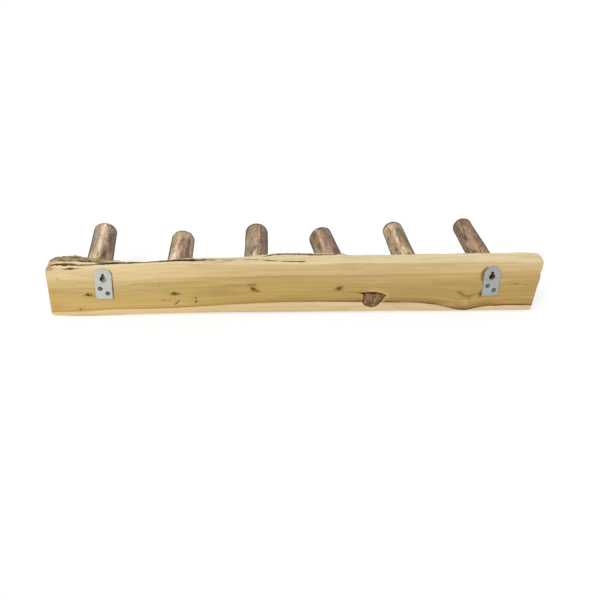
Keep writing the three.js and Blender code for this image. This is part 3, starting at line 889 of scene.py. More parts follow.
def board_masks(x, y, z):
    """Where the board's wood changes, for the material, as named values on its points."""
    deep = np.clip((BACK - y) / THICKNESS, 0, 1)
    top = back_top(x) * (1 - deep) + front_top(x) * deep
    wander = 2.2 * fractal_noise(x / 160, deep * 2, 51, 2) * deep
    upper = upper_line(x) + 8 * deep + wander
    lower = lower_line(x) - 5 * smoothstep(deep, 0, 1) + wander
    low = bottom_edge(x)
    lower = np.maximum(lower, low + 0.9)
    ring = np.where(
        z > upper,
        np.clip((top - z) / (top - upper), 0, 1),
        np.where(z > lower, 1 + 2 * (upper - z) / (upper - lower),
                 3 + (lower - z) / (lower - low)),
    )
    outline = rounded_outline(KNOT_OUTLINE, HOLE_POINTS)
    to_knot = np.full(x.shape, 1e3)
    around = (np.abs(x + 133) < 60) & (z < -20)
    to_knot[around] = polygon_distance(x[around], z[around], outline)
    behind = smoothstep(y, BACK - 2, BACK - 0.5)
    # painted highlight along the lit -X rim of the knot's hole, where its wall catches the light
    pale = behind * smoothstep(to_knot, -0.5, 0.6) * bump(to_knot - 2, 3)
    pale = pale * smoothstep(-x, 118, 135) * (0.6 + 0.5 * fractal_noise(x / 5, z / 5, 55))
    # painted shade darkening the knot hole's walls, the gaps round the fillers, the worm holes and
    # the keyhole pockets
    painted_recess_shade = np.where(to_knot < 0.8, smoothstep(BACK - y, 0.3, 3.5), 0.0) * 0.5
    for number in range(1, len(PEGS) + 1):
        edge = np.full(x.shape, 1e3)
        plug_x, plug_z = plug_place(number)
        close = np.hypot(x - plug_x, z - plug_z) < 14
        edge[close] = polygon_distance(x[close], z[close], mark_outline(number))
        painted_recess_shade = np.where(edge < 0.6, smoothstep(BACK - y, 0.2, 1.4), painted_recess_shade)
    for hole_x, hole_z, radius in WORM_HOLES:
        inside = np.hypot(x - hole_x, z - hole_z) < 1.9 * radius
        painted_recess_shade = np.where(inside & (y > -8), smoothstep(BACK - y, -0.05, 0.5), painted_recess_shade)
    painted_pocket_light, painted_pocket_shadow = np.zeros(x.shape), np.zeros(x.shape)  # painted light and painted shadow in the keyholes' pockets
    # painted shade fills each pocket; plate 1's pocket gets a painted pool of light low on its -X
    # side, and both get painted shadow on their +X side
    for hanger, bright in zip(HANGERS, (1.0, 0.0)):
        pocket = (y < BACK - 0.2) & (np.hypot(x - hanger["x"], (z + 8) * 0.55) < 9.5)
        right = hanger["x"] + 3.4 - x - 0.35 * (z + 14)
        painted_recess_shade = np.where(pocket, 0.85, painted_recess_shade)
        painted_pocket_light = np.where(pocket, bright * smoothstep(right, -1, 1) * smoothstep(-z, 7.5, 10.5), painted_pocket_light)
        painted_pocket_shadow = np.where(pocket, 0.9 * smoothstep(-right, -4.4, -1.2) * (1 - painted_pocket_light), painted_pocket_shadow)
    # painted shade in the splits of the top surface
    dark, _ = split_marks(x, y)
    torn = smoothstep(x, 434, 450) * smoothstep(z, 4, 8)
    wander = 0.8 * value_noise(x / 22, 0.0, 57)
    second = bump(z - second_line(x) - wander, 0.9 + 0.5 * value_noise(x / 30, 0.0, 58))
    second = second * behind * smoothstep(x, 84, 120) * (0.45 + 0.2 * value_noise(x / 25, 0.0, 59))
    over_second = smoothstep(z - second_line(x) - wander, -1, 1.5) * (z < upper)
    band = behind * 0.55 * over_second * smoothstep(x, 150, 340)
    in_back = y > BACK_HALF
    return {
        "ring": ring,
        "pale": np.clip(pale, 0, 1),
        "painted_recess_shade": np.clip(painted_recess_shade, 0, 1) * in_back,
        "painted_split_shade": dark * smoothstep(z, top - 15, top - 10),
        "bark": bark_share(x, y) * smoothstep(z, top - 9, top - 5),
        "torn": torn,
        # the top face, paler partly from weathering and partly as a painted highlight
        "top": smoothstep(z, top - 3.4, top - 1.2) * (1 - 0.6 * smoothstep(-y, 31, 32)),
        "painted_pocket_light": painted_pocket_light * in_back,
        "painted_pocket_shadow": painted_pocket_shadow * in_back,
        "second": np.clip(second, 0, 1),
        "band": np.clip(band, 0, 1),
    }


def stains_and_painted_shadows(x, y, z):
    """The colour soaked into the back face by knots and marks, with painted shadow beside the plates,
    and how strong it is.
    """
    wavy_x = x + 1.6 * fractal_noise(x / 9, z / 5, 61)
    wavy_z = z + 1.0 * fractal_noise(x / 9, z / 5, 62)
    drawn = []
    for shade, strength, patch_x, patch_z, half_x, half_z in PATCHES:
        inside = ((wavy_x - patch_x) / half_x) ** 2 + ((wavy_z - patch_z) / half_z) ** 2
        drawn.append((shade, strength * np.exp(-inside)))
    for shade, strength, path in STROKES:
        drawn.append((shade, strength * on_path(x + 0.4 * (wavy_x - x), wavy_z, path)))
    # painted shadow beside the hanger plates
    for hanger, shadows in zip(HANGERS, PLATE_SHADOWS):
        for shade, strength, path in shadows:
            placed = [(*in_hanger(hanger, px, pz), width) for px, pz, width in path]
            drawn.append((shade, strength * on_path(x, z, placed)))
    tone, left = np.zeros((*x.shape, 3)), np.ones(x.shape)
    for shade, share in reversed(drawn):
        tone += (left * share)[..., None] * np.array(colour(*shade)[:3])
        left = left * (1 - share)
    cover = np.maximum(1 - left, 1e-6)
    return tone / cover[..., None], cover * smoothstep(y, BACK - 2, BACK - 0.5)


def make_board():
    mesh = stacked("board_wood", with_eased_ends(board_grid()))
    for cutters in openings():
        mesh = cut(mesh, mesh_of("openings", *joined(cutters)))
    mesh.name = "board_wood"
    x, y, z = points_of(mesh)
    masks = board_masks(x, y, z)
    for name, values in masks.items():
        attribute(mesh, name, values)
    tone, share = stains_and_painted_shadows(x, y, z)
    attribute(mesh, "stain_and_shadow_tone", np.column_stack([tone, np.ones(len(x))]), "FLOAT_COLOR")
    attribute(mesh, "stain_and_shadow_share", share)
    rings = 25.0 * masks["ring"]  # about the board's height, bent along the growth lines
    attribute(mesh, "fibre", np.stack([x, rings, y], axis=1) * MM, "FLOAT_VECTOR")
    mesh.materials.clear()
    mesh.materials.append(board_finish("board_wood"))
    mesh.materials.append(board_finish("board_end_grain", end_grain=True))
    for face in mesh.polygons:
        face.material_index = int(len(face.vertices) > 40 or abs(face.normal.x) > 0.8
                                  and abs(face.center.x / MM - 3) > 443)
    return show(mesh, None, ["board"], 35)


# ---- the dead knot ----
def knot_finish():
    made = Finish("knot_wood")
    place = made.position()
    swirl = made.noise(place, (150, 150, 80), 5, 0.62, 1.2)
    shade = made.ramp(swirl, [
        (0.36, (72, 50, 26)), (0.45, (118, 90, 62)), (0.51, (156, 124, 98)),
        (0.56, (128, 100, 70)), (0.66, (198, 172, 140)),
    ])
    x, _, _ = made.parts(place)
    olive = made.ramp(made.noise(place, (380, 380, 500), 4, 0.7), [
        (0.40, (78, 58, 28)), (0.50, (116, 94, 56)), (0.60, (180, 162, 122)),
    ])
    shade = made.mix(made.between(x, -0.136, -0.148, 0, 0.5), shade, olive)
    grain = made.noise(place, (420, 420, 900), 3, 0.6)
    shade = made.mottled(shade, grain, 0.3, 0.7, 0.84, 1.14)
    shade = made.covered(shade, ("rim", (108, 76, 34)))
    normal = made.bumpy(swirl, 0.0010, 0.8, made.bumpy(grain, 0.0003, 0.6))
    return made.finished(shade, 0.85, normal, specular=0.2)


def make_knot():
    outline = rounded_outline([point for point in KNOT_OUTLINE if point[0] < -116], KNOT_POINTS)
    middle = outline.mean(axis=0) + (0, -3)
    arms = outline - middle
    reach = np.linalg.norm(arms, axis=1)[:, None]
    upward = smoothstep(arms[:, 1:] / reach, 0.25, 0.95)
    ragged = value_noise(np.arange(KNOT_POINTS) / 4, 0.0, 82)[:, None]
    rim = middle + arms * (1 - (0.5 + 0.3 * ragged + (3.4 + 1.2 * ragged) * upward) / reach)
    low = smoothstep(-arms[:, 1] / reach[:, 0], -0.2, 0.5)
    rows, masks = [], []
    for level in (-KNOT_DEPTH - 1.4, -12, -8, -5.8):
        rows.append(at_depth(rim, level))
        masks.append(np.ones(KNOT_POINTS))
    for share in (0.985, 0.95, 0.9, 0.84, 0.76, 0.68, 0.6, 0.5, 0.4, 0.3, 0.2, 0.1, 0.04):
        ring = middle + (rim - middle) * share
        crown = -5.2 + 2.2 * smoothstep(1 - share, 0, 0.3) + 0.6 * low * share
        ridges = 0.6 * fractal_noise(ring[:, 0] / 4.5, ring[:, 1] / 6, 81)
        rows.append(at_depth(ring, crown + ridges))
        cracked = smoothstep(ragged[:, 0], -0.5, 0.6)
        edge = smoothstep(share, 0.80, 0.99) * (1 - 0.75 * low * cracked)
        masks.append(np.clip(edge, 0, 1))
    mesh = stacked("dead_knot_wood", rows)
    attribute(mesh, "rim", np.concatenate(masks))
    return show(mesh, knot_finish(), ["dead_knot"], 50)


# ---- filler over the pegs' screws ----
def filler_finish():
    made = Finish("wood_filler")
    place = made.position()
    lumps = made.noise(place, (420, 420, 620), 4, 0.65)
    shade = made.ramp(lumps, [
        (0.30, (66, 44, 12)), (0.50, (106, 76, 28)), (0.70, (142, 108, 50)),
    ])
    wood = made.ramp(made.noise(place, (40, 900, 900), 3), [
        (0.3, (160, 128, 74)), (0.7, (196, 164, 104)),
    ])
    shade = made.mix(made.scalar("light"), shade, wood)
    normal = made.bumpy(lumps, 0.0005, 0.8)
    return made.finished(shade, 0.9, normal, specular=0.2)


# Where the board's colour shows through each filler: x and z from its middle, size, strength.
FILLER_LIGHT = [(-2.6, 0.8, 1.8, 0.8), (3.4, 0.4, 2.2, 0.6), (-4.6, -3, 2.6, 0.7),
                (-4, 3.4, 3.2, 0.75), (0, 0, 60, 1.0), (0, 0, 60, 0.9)]


def make_filler(number, finish):
    x, z = plug_place(number)
    rim = mark_outline(number)
    middle = rim.mean(axis=0)
    flush = 0.05 if number == 5 else 0.3
    rows = []
    for y in (BACK - 5.8, BACK - 3, BACK - flush - 0.35):
        rows.append(at_depth(middle + (rim - middle) * 0.975, y))
    for share in (0.93, 0.84, 0.72, 0.6, 0.46, 0.32, 0.18, 0.06):
        ring = middle + (rim - middle) * share
        dish = BACK - flush - flush * share**4
        lumps = 0.5 * flush * fractal_noise(ring[:, 0] / 1.6, ring[:, 1] / 1.6, 90 + number)
        rows.append(at_depth(ring, dish + lumps))
    mesh = stacked(f"filler_{number}", rows)
    px, _, pz = points_of(mesh)
    dx, dz, size, strength = FILLER_LIGHT[number - 1]
    attribute(mesh, "light", strength * bump(np.hypot(px - x - dx, pz - z - dz), size))
    return show(mesh, finish, [f"screw_plug_{number}"], 60)


# ---- pegs ----
PALE = (224, 200, 168)
CREAM = (206, 184, 140)
OCHRE = (176, 148, 104)
TAN = (176, 150, 120)
OLIVE = (142, 120, 80)
MAUVE = (134, 106, 90)
PINK = (180, 148, 124)
GREY = (146, 134, 114)
SLATE = (88, 76, 60)
BROWN = (84, 61, 43)
RUST = (106, 75, 54)

# Each peg's ground colour, the way its most photographed side faces, how its end is sawn, its
# whittled flats and its patches. Across is -1 at the left of that side, 0 on its middle line and 1
# at its right; along is millimetres from the board.
# The long SLATE patches near across -1 and 1 are painted shade along the edges of the facing side.
PEG_LOOKS = [
    {"ground": (168, 144, 120), "facing": -16.5, "oblique": (0.06, 200),
     "flats": [(-32, 0.62, 70), (150, 0.7, 60)],
     "patches": [
         (PALE, -0.14, 168, 0.20, 22), (PALE, -0.22, 140, 0.20, 26), (PALE, -0.30, 112, 0.20, 20),
         (PINK, -0.04, 128, 0.16, 22), (GREY, -0.74, 118, 0.26, 34), (GREY, -0.68, 160, 0.24, 18),
         (SLATE, -0.95, 130, 0.14, 60), (PALE, -0.36, 88, 0.20, 12), (OLIVE, -0.86, 84, 0.20, 14),
         (CREAM, -0.50, 64, 0.45, 14), (OLIVE, -0.30, 50, 0.40, 4),
         (OLIVE, 0.42, 158, 0.26, 12), (BROWN, 0.50, 134, 0.26, 16),
         (RUST, 0.60, 108, 0.24, 24), (MAUVE, 0.16, 96, 0.16, 18), (BROWN, 0.22, 76, 0.20, 20),
         (BROWN, 0.12, 58, 0.20, 10), (RUST, 0.45, 182, 0.26, 7), (BROWN, 0.80, 160, 0.18, 20),
         (SLATE, 0.95, 120, 0.16, 60), (OLIVE, 0.72, 76, 0.22, 14)]},
    {"ground": (162, 138, 112), "facing": -12, "oblique": (0.05, 160),
     "flats": [(38, 0.66, 66), (-120, 0.7, 60)],
     "patches": [
         (TAN, -0.15, 146, 0.50, 9), (OCHRE, -0.66, 132, 0.16, 16), (TAN, 0.30, 140, 0.16, 10),
         (OLIVE, -0.70, 104, 0.18, 18), (PALE, -0.42, 116, 0.12, 18), (PALE, -0.48, 86, 0.16, 20),
         (SLATE, 0.10, 118, 0.20, 10), (MAUVE, -0.05, 106, 0.24, 12), (BROWN, 0.56, 120, 0.12, 18),
         (BROWN, 0.52, 96, 0.14, 16), (OCHRE, 0.66, 138, 0.12, 12), (TAN, 0.82, 100, 0.12, 24),
         (PINK, -0.20, 78, 0.20, 16), (PALE, -0.60, 62, 0.24, 14), (MAUVE, 0.12, 66, 0.20, 14),
         (BROWN, 0.50, 72, 0.24, 12), (BROWN, 0.44, 54, 0.40, 7), (SLATE, -0.96, 100, 0.10, 50),
         (SLATE, 0.98, 100, 0.10, 50), (SLATE, 0.30, 152, 0.60, 3)]},
    {"ground": (144, 124, 102), "facing": -2, "oblique": (0.03, 90),
     "flats": [(6, 0.66, 68), (-100, 0.7, 58)],
     "patches": [
         (OLIVE, -0.38, 152, 0.30, 14), (OLIVE, -0.55, 128, 0.22, 20), (GREY, -0.20, 118, 0.22, 22),
         (MAUVE, 0.10, 148, 0.20, 14), (TAN, -0.04, 100, 0.16, 22), (RUST, 0.40, 130, 0.16, 26),
         (PINK, 0.16, 116, 0.10, 26), (RUST, 0.52, 100, 0.14, 24), (MAUVE, 0.70, 120, 0.14, 34),
         (SLATE, 0.93, 120, 0.14, 60), (SLATE, -0.86, 150, 0.16, 18), (GREY, -0.80, 100, 0.14, 34),
         (SLATE, -0.97, 100, 0.10, 60), (BROWN, -0.40, 68, 0.12, 8), (BROWN, -0.12, 78, 0.12, 6),
         (BROWN, 0.12, 66, 0.07, 12), (PALE, -0.10, 56, 0.20, 10), (MAUVE, 0.42, 70, 0.22, 14),
         (BROWN, 0.62, 50, 0.30, 5), (GREY, -0.62, 62, 0.16, 14)]},
    {"ground": (150, 126, 104), "facing": 24, "oblique": (0.16, 250),
     "flats": [(170, 0.7, 60), (-130, 0.72, 62)],
     "patches": [
         (PINK, -0.02, 142, 0.16, 16), (PINK, -0.08, 116, 0.12, 18), (PINK, 0.0, 92, 0.08, 20),
         (PINK, -0.10, 66, 0.12, 16), (OLIVE, -0.55, 118, 0.24, 22), (BROWN, -0.42, 134, 0.20, 16),
         (BROWN, -0.35, 92, 0.14, 16), (GREY, -0.62, 76, 0.20, 16), (BROWN, 0.30, 142, 0.16, 12),
         (RUST, 0.50, 122, 0.18, 16), (RUST, 0.72, 96, 0.14, 22), (MAUVE, 0.34, 98, 0.16, 18),
         (MAUVE, 0.40, 72, 0.24, 18), (BROWN, 0.70, 66, 0.20, 12), (SLATE, 0.95, 90, 0.14, 60),
         (SLATE, -0.92, 120, 0.16, 30), (TAN, 0.12, 60, 0.10, 10), (BROWN, 0.40, 52, 0.30, 5)]},
    {"ground": (162, 140, 114), "facing": 27, "oblique": (0.05, 60),
     "flats": [(-138, 0.66, 64), (150, 0.7, 60)],
     "patches": [
         (CREAM, -0.05, 160, 0.30, 14), (OCHRE, -0.52, 158, 0.26, 12), (BROWN, -0.30, 142, 0.10, 12),
         (CREAM, 0.10, 134, 0.18, 16), (PINK, -0.12, 118, 0.16, 14), (PALE, 0.02, 104, 0.14, 18),
         (BROWN, -0.68, 130, 0.12, 14), (OCHRE, -0.60, 100, 0.20, 20), (BROWN, -0.40, 84, 0.10, 18),
         (PINK, -0.06, 76, 0.16, 18), (SLATE, 0.60, 134, 0.22, 18), (SLATE, 0.80, 108, 0.20, 26),
         (BROWN, 0.36, 112, 0.12, 14), (OLIVE, 0.50, 92, 0.18, 14), (CREAM, 0.34, 72, 0.20, 14),
         (OCHRE, 0.60, 62, 0.16, 12), (PALE, 0.12, 58, 0.10, 14), (BROWN, -0.42, 58, 0.16, 12),
         (BROWN, 0.50, 52, 0.30, 6), (SLATE, 0.97, 80, 0.12, 40), (SLATE, -0.97, 110, 0.10, 60)]},
    {"ground": (136, 112, 92), "facing": 35.6, "oblique": (0.04, 20),
     "flats": [(-162, 0.7, 56), (100, 0.72, 60)],
     "patches": [
         (BROWN, -0.62, 164, 0.24, 18), (BROWN, 0.20, 172, 0.30, 12), (GREY, -0.14, 160, 0.10, 20),
         (MAUVE, -0.02, 140, 0.12, 14), (RUST, -0.50, 138, 0.16, 16), (MAUVE, 0.42, 150, 0.16, 16),
         (BROWN, -0.30, 122, 0.14, 10), (OCHRE, 0.20, 118, 0.16, 14), (OLIVE, -0.62, 112, 0.20, 12),
         (TAN, -0.30, 100, 0.16, 12), (TAN, 0.06, 94, 0.22, 16), (OCHRE, 0.40, 92, 0.14, 14),
         (RUST, 0.62, 104, 0.16, 20), (BROWN, -0.60, 84, 0.14, 18), (TAN, 0.14, 72, 0.20, 12),
         (BROWN, -0.24, 70, 0.12, 10), (OLIVE, 0.42, 66, 0.20, 12), (BROWN, -0.40, 54, 0.30, 8),
         (OCHRE, 0.20, 54, 0.26, 7), (SLATE, 0.94, 90, 0.14, 60), (SLATE, -0.94, 120, 0.14, 70)]},
]


def peg_finish():
    made = Finish("branch_wood")
    fibre = made.vector("fibre")
    shade = made.tint("stain_and_shade_colour")
    streaks = made.noise(fibre, (280, 280, 34), 5, 0.65, 0.5)
    shade = made.mottled(shade, streaks, 0.30, 0.70, 0.80, 1.48)
    grain = made.noise(fibre, (560, 560, 150), 4, 0.7, 0.6)
    shade = made.mottled(shade, grain, 0.34, 0.66, 0.66, 1.44)
    fine = made.noise(fibre, (1200, 1200, 60), 4, 0.65, 0.2)
    shade = made.mottled(shade, fine, 0.3, 0.7, 0.76, 1.22)
    blotches = made.noise(fibre, (110, 110, 45), 4, 0.6, 0.8)
    shade = made.tinged(shade, blotches, 0.54, 0.68, 0.45, (92, 70, 54))
    bleached = made.noise(fibre, (180, 180, 30), 4, 0.6, 0.5)
    shade = made.tinged(shade, bleached, 0.58, 0.72, 0.40, (204, 184, 156))
    flecks = made.noise(fibre, (700, 700, 170), 3, 0.6, 0.6)
    shade = made.tinged(shade, flecks, 0.66, 0.74, 0.65, (62, 42, 28))

    # whittled flats are paler and plainer; the sawn end shows rings and fine cracks
    flat_wood = made.scaled(colour(206, 180, 140), made.between(fine, 0.3, 0.7, 0.86, 1.08))
    shade = made.mix(made.times(made.scalar("whittled"), 0.45), shade, flat_wood)
    sx, sy, _ = made.parts(fibre)
    section = made.node("CombineXYZ", {0: sx, 1: sy}).outputs[0]
    rings = made.node("TexWave", {
        "Vector": section, "Scale": 150.0, "Distortion": 2.2, "Detail": 3.0, "Detail Scale": 1.5,
    }, wave_type="RINGS", rings_direction="Z").outputs["Fac"]
    sawn = made.ramp(rings, [
        (0.1, (174, 142, 102)), (0.5, (196, 164, 122)), (0.9, (208, 178, 136)),
    ])
    pith = made.node("VectorMath", {0: section}, operation="LENGTH").outputs["Value"]
    sawn = made.mix(made.between(pith, 0.004, 0.001), sawn, colour(112, 80, 52))
    sawn = made.mottled(sawn, fine, 0.3, 0.7, 0.9, 1.06)
    shade = made.mix(made.scalar("sawn"), shade, sawn)
    shade = made.covered(shade, ("seam", (86, 62, 38)))

    normal = made.bumpy(fine, 0.00025, 0.6)
    normal = made.bumpy(streaks, 0.0009, 0.6, normal)
    return made.finished(shade, made.between(streaks, 0.3, 0.7, 0.78, 0.6), normal, specular=0.28)


def peg_axes(peg):
    """The peg's own directions: along it, to its +X side and up."""
    tilt, yaw = math.radians(PEG_TILT), math.radians(peg["yaw"])
    flat = math.cos(tilt)
    along = np.array([math.sin(yaw) * flat, -math.cos(yaw) * flat, math.sin(tilt)])
    side = np.cross([0, 0, 1], along)
    side /= np.linalg.norm(side)
    return along, side, np.cross(along, side)


def peg_stain_and_shade(look, angle, along, seed):
    """The weathered colour over a peg's surface, with painted shade along the edges of its facing
    side.
    """
    facing = math.radians(look["facing"])
    stain_and_shade = np.zeros((*angle.shape, 3)) + np.array(colour(*look["ground"])[:3])
    wander = 0.16 * fractal_noise(np.cos(angle) * 3 + 9, along / 16 + np.sin(angle) * 3, seed)
    slide = 7 * fractal_noise(np.cos(angle) * 4, along / 14 + np.sin(angle) * 4, seed + 5)
    for shade, across, place, half_width, half_length in look["patches"]:
        middle = facing - math.asin(across)
        gap = (angle + wander - middle + math.pi) % (2 * math.pi) - math.pi
        width = half_width / max(0.45, math.cos(middle - facing))
        away = (along + slide - place) / half_length
        share = np.exp(-np.abs(gap / width) ** 2.2 - np.abs(away) ** 2.2)
        tone = np.array(colour(*shade)[:3])
        stain_and_shade += 0.8 * share[..., None] * (tone - stain_and_shade)
    # painted shade along both edges of the facing side
    seen = angle - facing
    shaded = 1 - 0.66 * smoothstep(np.abs(np.sin(seen)), 0.84, 0.98) * (np.cos(seen) > -0.5)
    stain_and_shade = stain_and_shade * shaded[..., None]
    hidden = smoothstep(-np.cos(seen), 0.0, 0.5)  # the underside has only broad streaks
    streak = fractal_noise(np.cos(angle) * 3.5 + 20, np.sin(angle) * 3.5 + along / 60, seed + 9)
    under = np.array(colour(*MAUVE)[:3]) + (streak[..., None] * 0.5 + 0.35) * (
        np.array(colour(*CREAM)[:3]) - np.array(colour(*MAUVE)[:3]))
    return stain_and_shade + (0.5 * hidden)[..., None] * (under - stain_and_shade)


def make_peg(number, finish):
    peg, look = PEGS[number - 1], PEG_LOOKS[number - 1]
    along, side, up = peg_axes(peg)
    seat = np.array([peg["x"], FRONT, peg["z"]])
    base_radius, length, easing = peg["diameter"] / 2, peg["length"], 3.2
    angle = np.linspace(0, 2 * math.pi, PEG_POINTS, endpoint=False)[None, :]

    body = np.linspace(0, 1, 128)[:, None]
    nominal = body * (length - easing)
    radius = base_radius * (1 - (1 - PEG_TAPER) * nominal / length)
    lumps = fractal_noise(np.cos(angle) * 1.6 + 5, np.sin(angle) * 1.6 + nominal / 45, 200 + number)
    ripple = fractal_noise(np.cos(angle) * 7, np.sin(angle) * 7 + nominal / 26, 220 + number)
    radius = radius * (1 + 0.030 * lumps) + 0.22 * ripple
    whittled = np.zeros(radius.shape)
    for degrees, depth, reach in look["flats"]:
        turn = np.cos(angle - math.radians(degrees))
        flat = base_radius * (depth + (1.03 - depth) * (nominal / reach) ** 0.8)
        limit = np.where(turn > 0.2, flat / np.maximum(turn, 0.2), 1e3)
        whittled = np.maximum(whittled, smoothstep(radius - limit, -0.1, 0.5))
        radius = np.minimum(radius, limit)

    across = side * np.sin(angle[..., None]) + up * np.cos(angle[..., None])
    start = -(across[..., 1] * radius[0] + 0.06) / along[1]
    slope, towards = look["oblique"]
    leaning = slope * np.cos(angle - math.radians(towards))
    distance = start + (length - easing - start) * body + leaning * radius * body**4
    rows = [(radius, distance, np.zeros(radius.shape))]
    rim = radius[-1:]
    for turn in np.linspace(0, math.pi / 2, 6)[1:]:
        shrunk = rim - easing * (1 - math.cos(turn))
        rows.append((shrunk, length - easing * (1 - math.sin(turn)) + leaning * shrunk,
                     np.full(rim.shape, smoothstep(turn, 1.2, 1.57))))
    for share in (0.8, 0.62, 0.45, 0.3, 0.16, 0.05):
        shrunk = (rim - easing) * share
        marks = 0.12 * fractal_noise(shrunk * np.cos(angle) / 3, shrunk * np.sin(angle) / 9, 240)
        rows.append((shrunk, length + leaning * shrunk + marks, np.ones(rim.shape)))
    radius, distance, sawn = (np.vstack([row[k] for row in rows]) for k in range(3))
    points = seat + distance[..., None] * along + radius[..., None] * across
    mesh = stacked(f"peg_wood_{number}", points)

    turned_to = np.broadcast_to(angle, radius.shape)
    stain_and_shade = peg_stain_and_shade(look, turned_to, distance, 300 + 20 * number)
    # painted shade darkening each peg over its last 10 mm towards the sawn end
    stain_and_shade *= (1 - 0.62 * smoothstep(distance, length - 10, length - 3))[..., None]
    rgba = np.concatenate([stain_and_shade, np.ones((*stain_and_shade.shape[:2], 1))], axis=2)
    attribute(mesh, "stain_and_shade_colour", rgba.reshape(-1, 4), "FLOAT_COLOR")
    full = np.zeros(radius.shape)
    full[: len(whittled)] = whittled
    attribute(mesh, "whittled", full)
    attribute(mesh, "sawn", sawn)
    attribute(mesh, "seam", 0.8 * bump(FRONT - points[..., 1], 1.2) * (distance < length / 2))
    own = np.stack([radius * np.sin(turned_to) + 60 * number, radius * np.cos(turned_to),
                    distance], axis=2)
    attribute(mesh, "fibre", own.reshape(-1, 3) * MM, "FLOAT_VECTOR")
    return show(mesh, finish, [f"peg_{number}"], 42)


# ---- hanger plates and screws ----
def zinc_finish():
    made = Finish("zinc_plate")
    place = made.position()
    cloudy = made.noise(place, (70, 70, 110), 5, 0.65, 0.4)
    shade = made.ramp(cloudy, [
        (0.30, (164, 182, 184)), (0.44, (198, 203, 198)), (0.55, (208, 207, 200)),
        (0.70, (186, 199, 188)),
    ])
    x, _, _ = made.parts(place)
    # the plate on the -X side is made darker and bluer
    minus_x_darker = made.between(x, 0.1, -0.1)
    shade = made.mix(made.times(minus_x_darker, 0.55), shade, colour(142, 144, 154))
    spots = made.noise(place, (620, 620, 620), 4, 0.65)
    shade = made.mottled(shade, spots, 0.3, 0.7, 0.78, 1.12)
    rusty = made.noise(place, (160, 160, 240), 4, 0.6, 0.5)
    shade = made.tinged(shade, rusty, 0.60, 0.74, 0.4, (128, 128, 108))
    brushed = made.noise(place, (2400, 400, 90), 3, 0.6)
    shade = made.mottled(shade, brushed, 0.3, 0.7, 0.95, 1.04)
    normal = made.bumpy(spots, 0.00004, 0.4, made.bumpy(brushed, 0.00002, 0.4))
    return made.finished(shade, made.between(spots, 0.3, 0.7, 0.62, 0.45), normal, metallic=0.6)


def steel_finish():
    made = Finish("screw_steel")
    place = made.position()
    worn = made.noise(place, (500, 500, 500), 4, 0.65)
    shade = made.ramp(worn, [
        (0.35, (120, 126, 124)), (0.52, (162, 168, 168)), (0.70, (204, 210, 212)),
    ])
    # painted shade in the cross recess and painted shadow round the head's rim
    shade = made.covered(shade, ("recess", (28, 32, 28)))
    normal = made.bumpy(worn, 0.00005, 0.5)
    return made.finished(shade, made.between(worn, 0.3, 0.7, 0.5, 0.36), normal, metallic=0.7)


def plate_outline():
    top, bottom, half = PLATE_TOP, PLATE_TOP - PLATE_HEIGHT, PLATE_WIDTH / 2
    corner = 1.0
    points = []
    for middle_x, start in ((-half + corner, 180), (half - corner, 270)):
        for angle in np.radians(start + np.linspace(0, 90, 5)):
            points.append((middle_x + corner * math.cos(angle),
                           bottom + corner + corner * math.sin(angle)))
    for angle in np.radians(np.linspace(0, 180, 49)):
        points.append((half * math.cos(angle), top - half + half * math.sin(angle)))
    return points


def keyhole_outline():
    """A round entry hole with a narrower slot rising from it, whose top is at z = 0."""
    meet = math.degrees(math.asin(SLOT_RADIUS / ENTRY_RADIUS))
    points = []
    for angle in np.radians(np.linspace(90 + meet, 450 - meet, 45)):
        points.append((ENTRY_RADIUS * math.cos(angle),
                       -ENTRY_DROP + ENTRY_RADIUS * math.sin(angle)))
    for angle in np.radians(np.linspace(0, 180, 21)):
        points.append((SLOT_RADIUS * math.cos(angle), SLOT_RADIUS * (math.sin(angle) - 1)))
    return points


def make_plate(number, finish):
    """A pressed plate with eased edges, from flat outlines thickened to both sides."""
    hanger = HANGERS[number - 1]
    easing = 0.28
    shape = bpy.data.curves.new("plate_shape", "CURVE")
    shape.dimensions = "2D"
    shape.fill_mode = "BOTH"
    shape.extrude = (PLATE_THICKNESS / 2 - easing) * MM
    shape.bevel_depth = easing * MM
    shape.bevel_resolution = 2
    shape.offset = -easing * MM
    for outline in (plate_outline(), keyhole_outline()):
        line = shape.splines.new("POLY")
        line.points.add(len(outline) - 1)
        line.use_cyclic_u = True
        for point, (x, z) in zip(line.points, outline):
            point.co = (x * MM, z * MM, 0, 1)
    holder = new_object("plate_shape", shape)
    bpy.context.view_layer.update()
    solid = bpy.data.meshes.new_from_object(
        holder.evaluated_get(bpy.context.evaluated_depsgraph_get()))
    bpy.data.objects.remove(holder)
    edit = bmesh.new()
    edit.from_mesh(solid)
    bmesh.ops.remove_doubles(edit, verts=edit.verts, dist=0.002 * MM)
    bmesh.ops.recalc_face_normals(edit, faces=edit.faces)
    edit.to_mesh(solid)
    edit.free()
    upright = Matrix.Rotation(math.radians(90), 4, "X")
    leaning = Matrix.Rotation(math.radians(hanger["lean"]), 4, "Y")
    middle = Matrix.Translation((hanger["x"] * MM, -PLATE_THICKNESS / 2 * MM, 0))
    solid.transform(middle @ leaning @ upright)
    holes = []
    for x, z in PLATE_SCREWS.values():
        place = in_hanger(hanger, x, z)
        holes.append(turned(*place, [(1, 5.6), (-2.3, 2.2), (-4, 2.2)], 36))
    solid = cut(solid, mesh_of("countersinks", *joined(holes)))
    solid.name = f"plate_{number}"
    solid.materials.clear()
    return show(solid, finish, [f"hanger_plate_{number}"], 30)


def cross_depth(x, z, arm, half_width, depth):
    """The depth of a cross recess at a point of a screw's head."""
    def wing(across, along):
        walls = 1 - smoothstep(np.abs(across), half_width - 0.12, half_width + 0.16)
        return walls * (1 - smoothstep(np.abs(along), 0.4 * arm, arm))

    return depth * np.maximum(wing(x, z), wing(z, x))


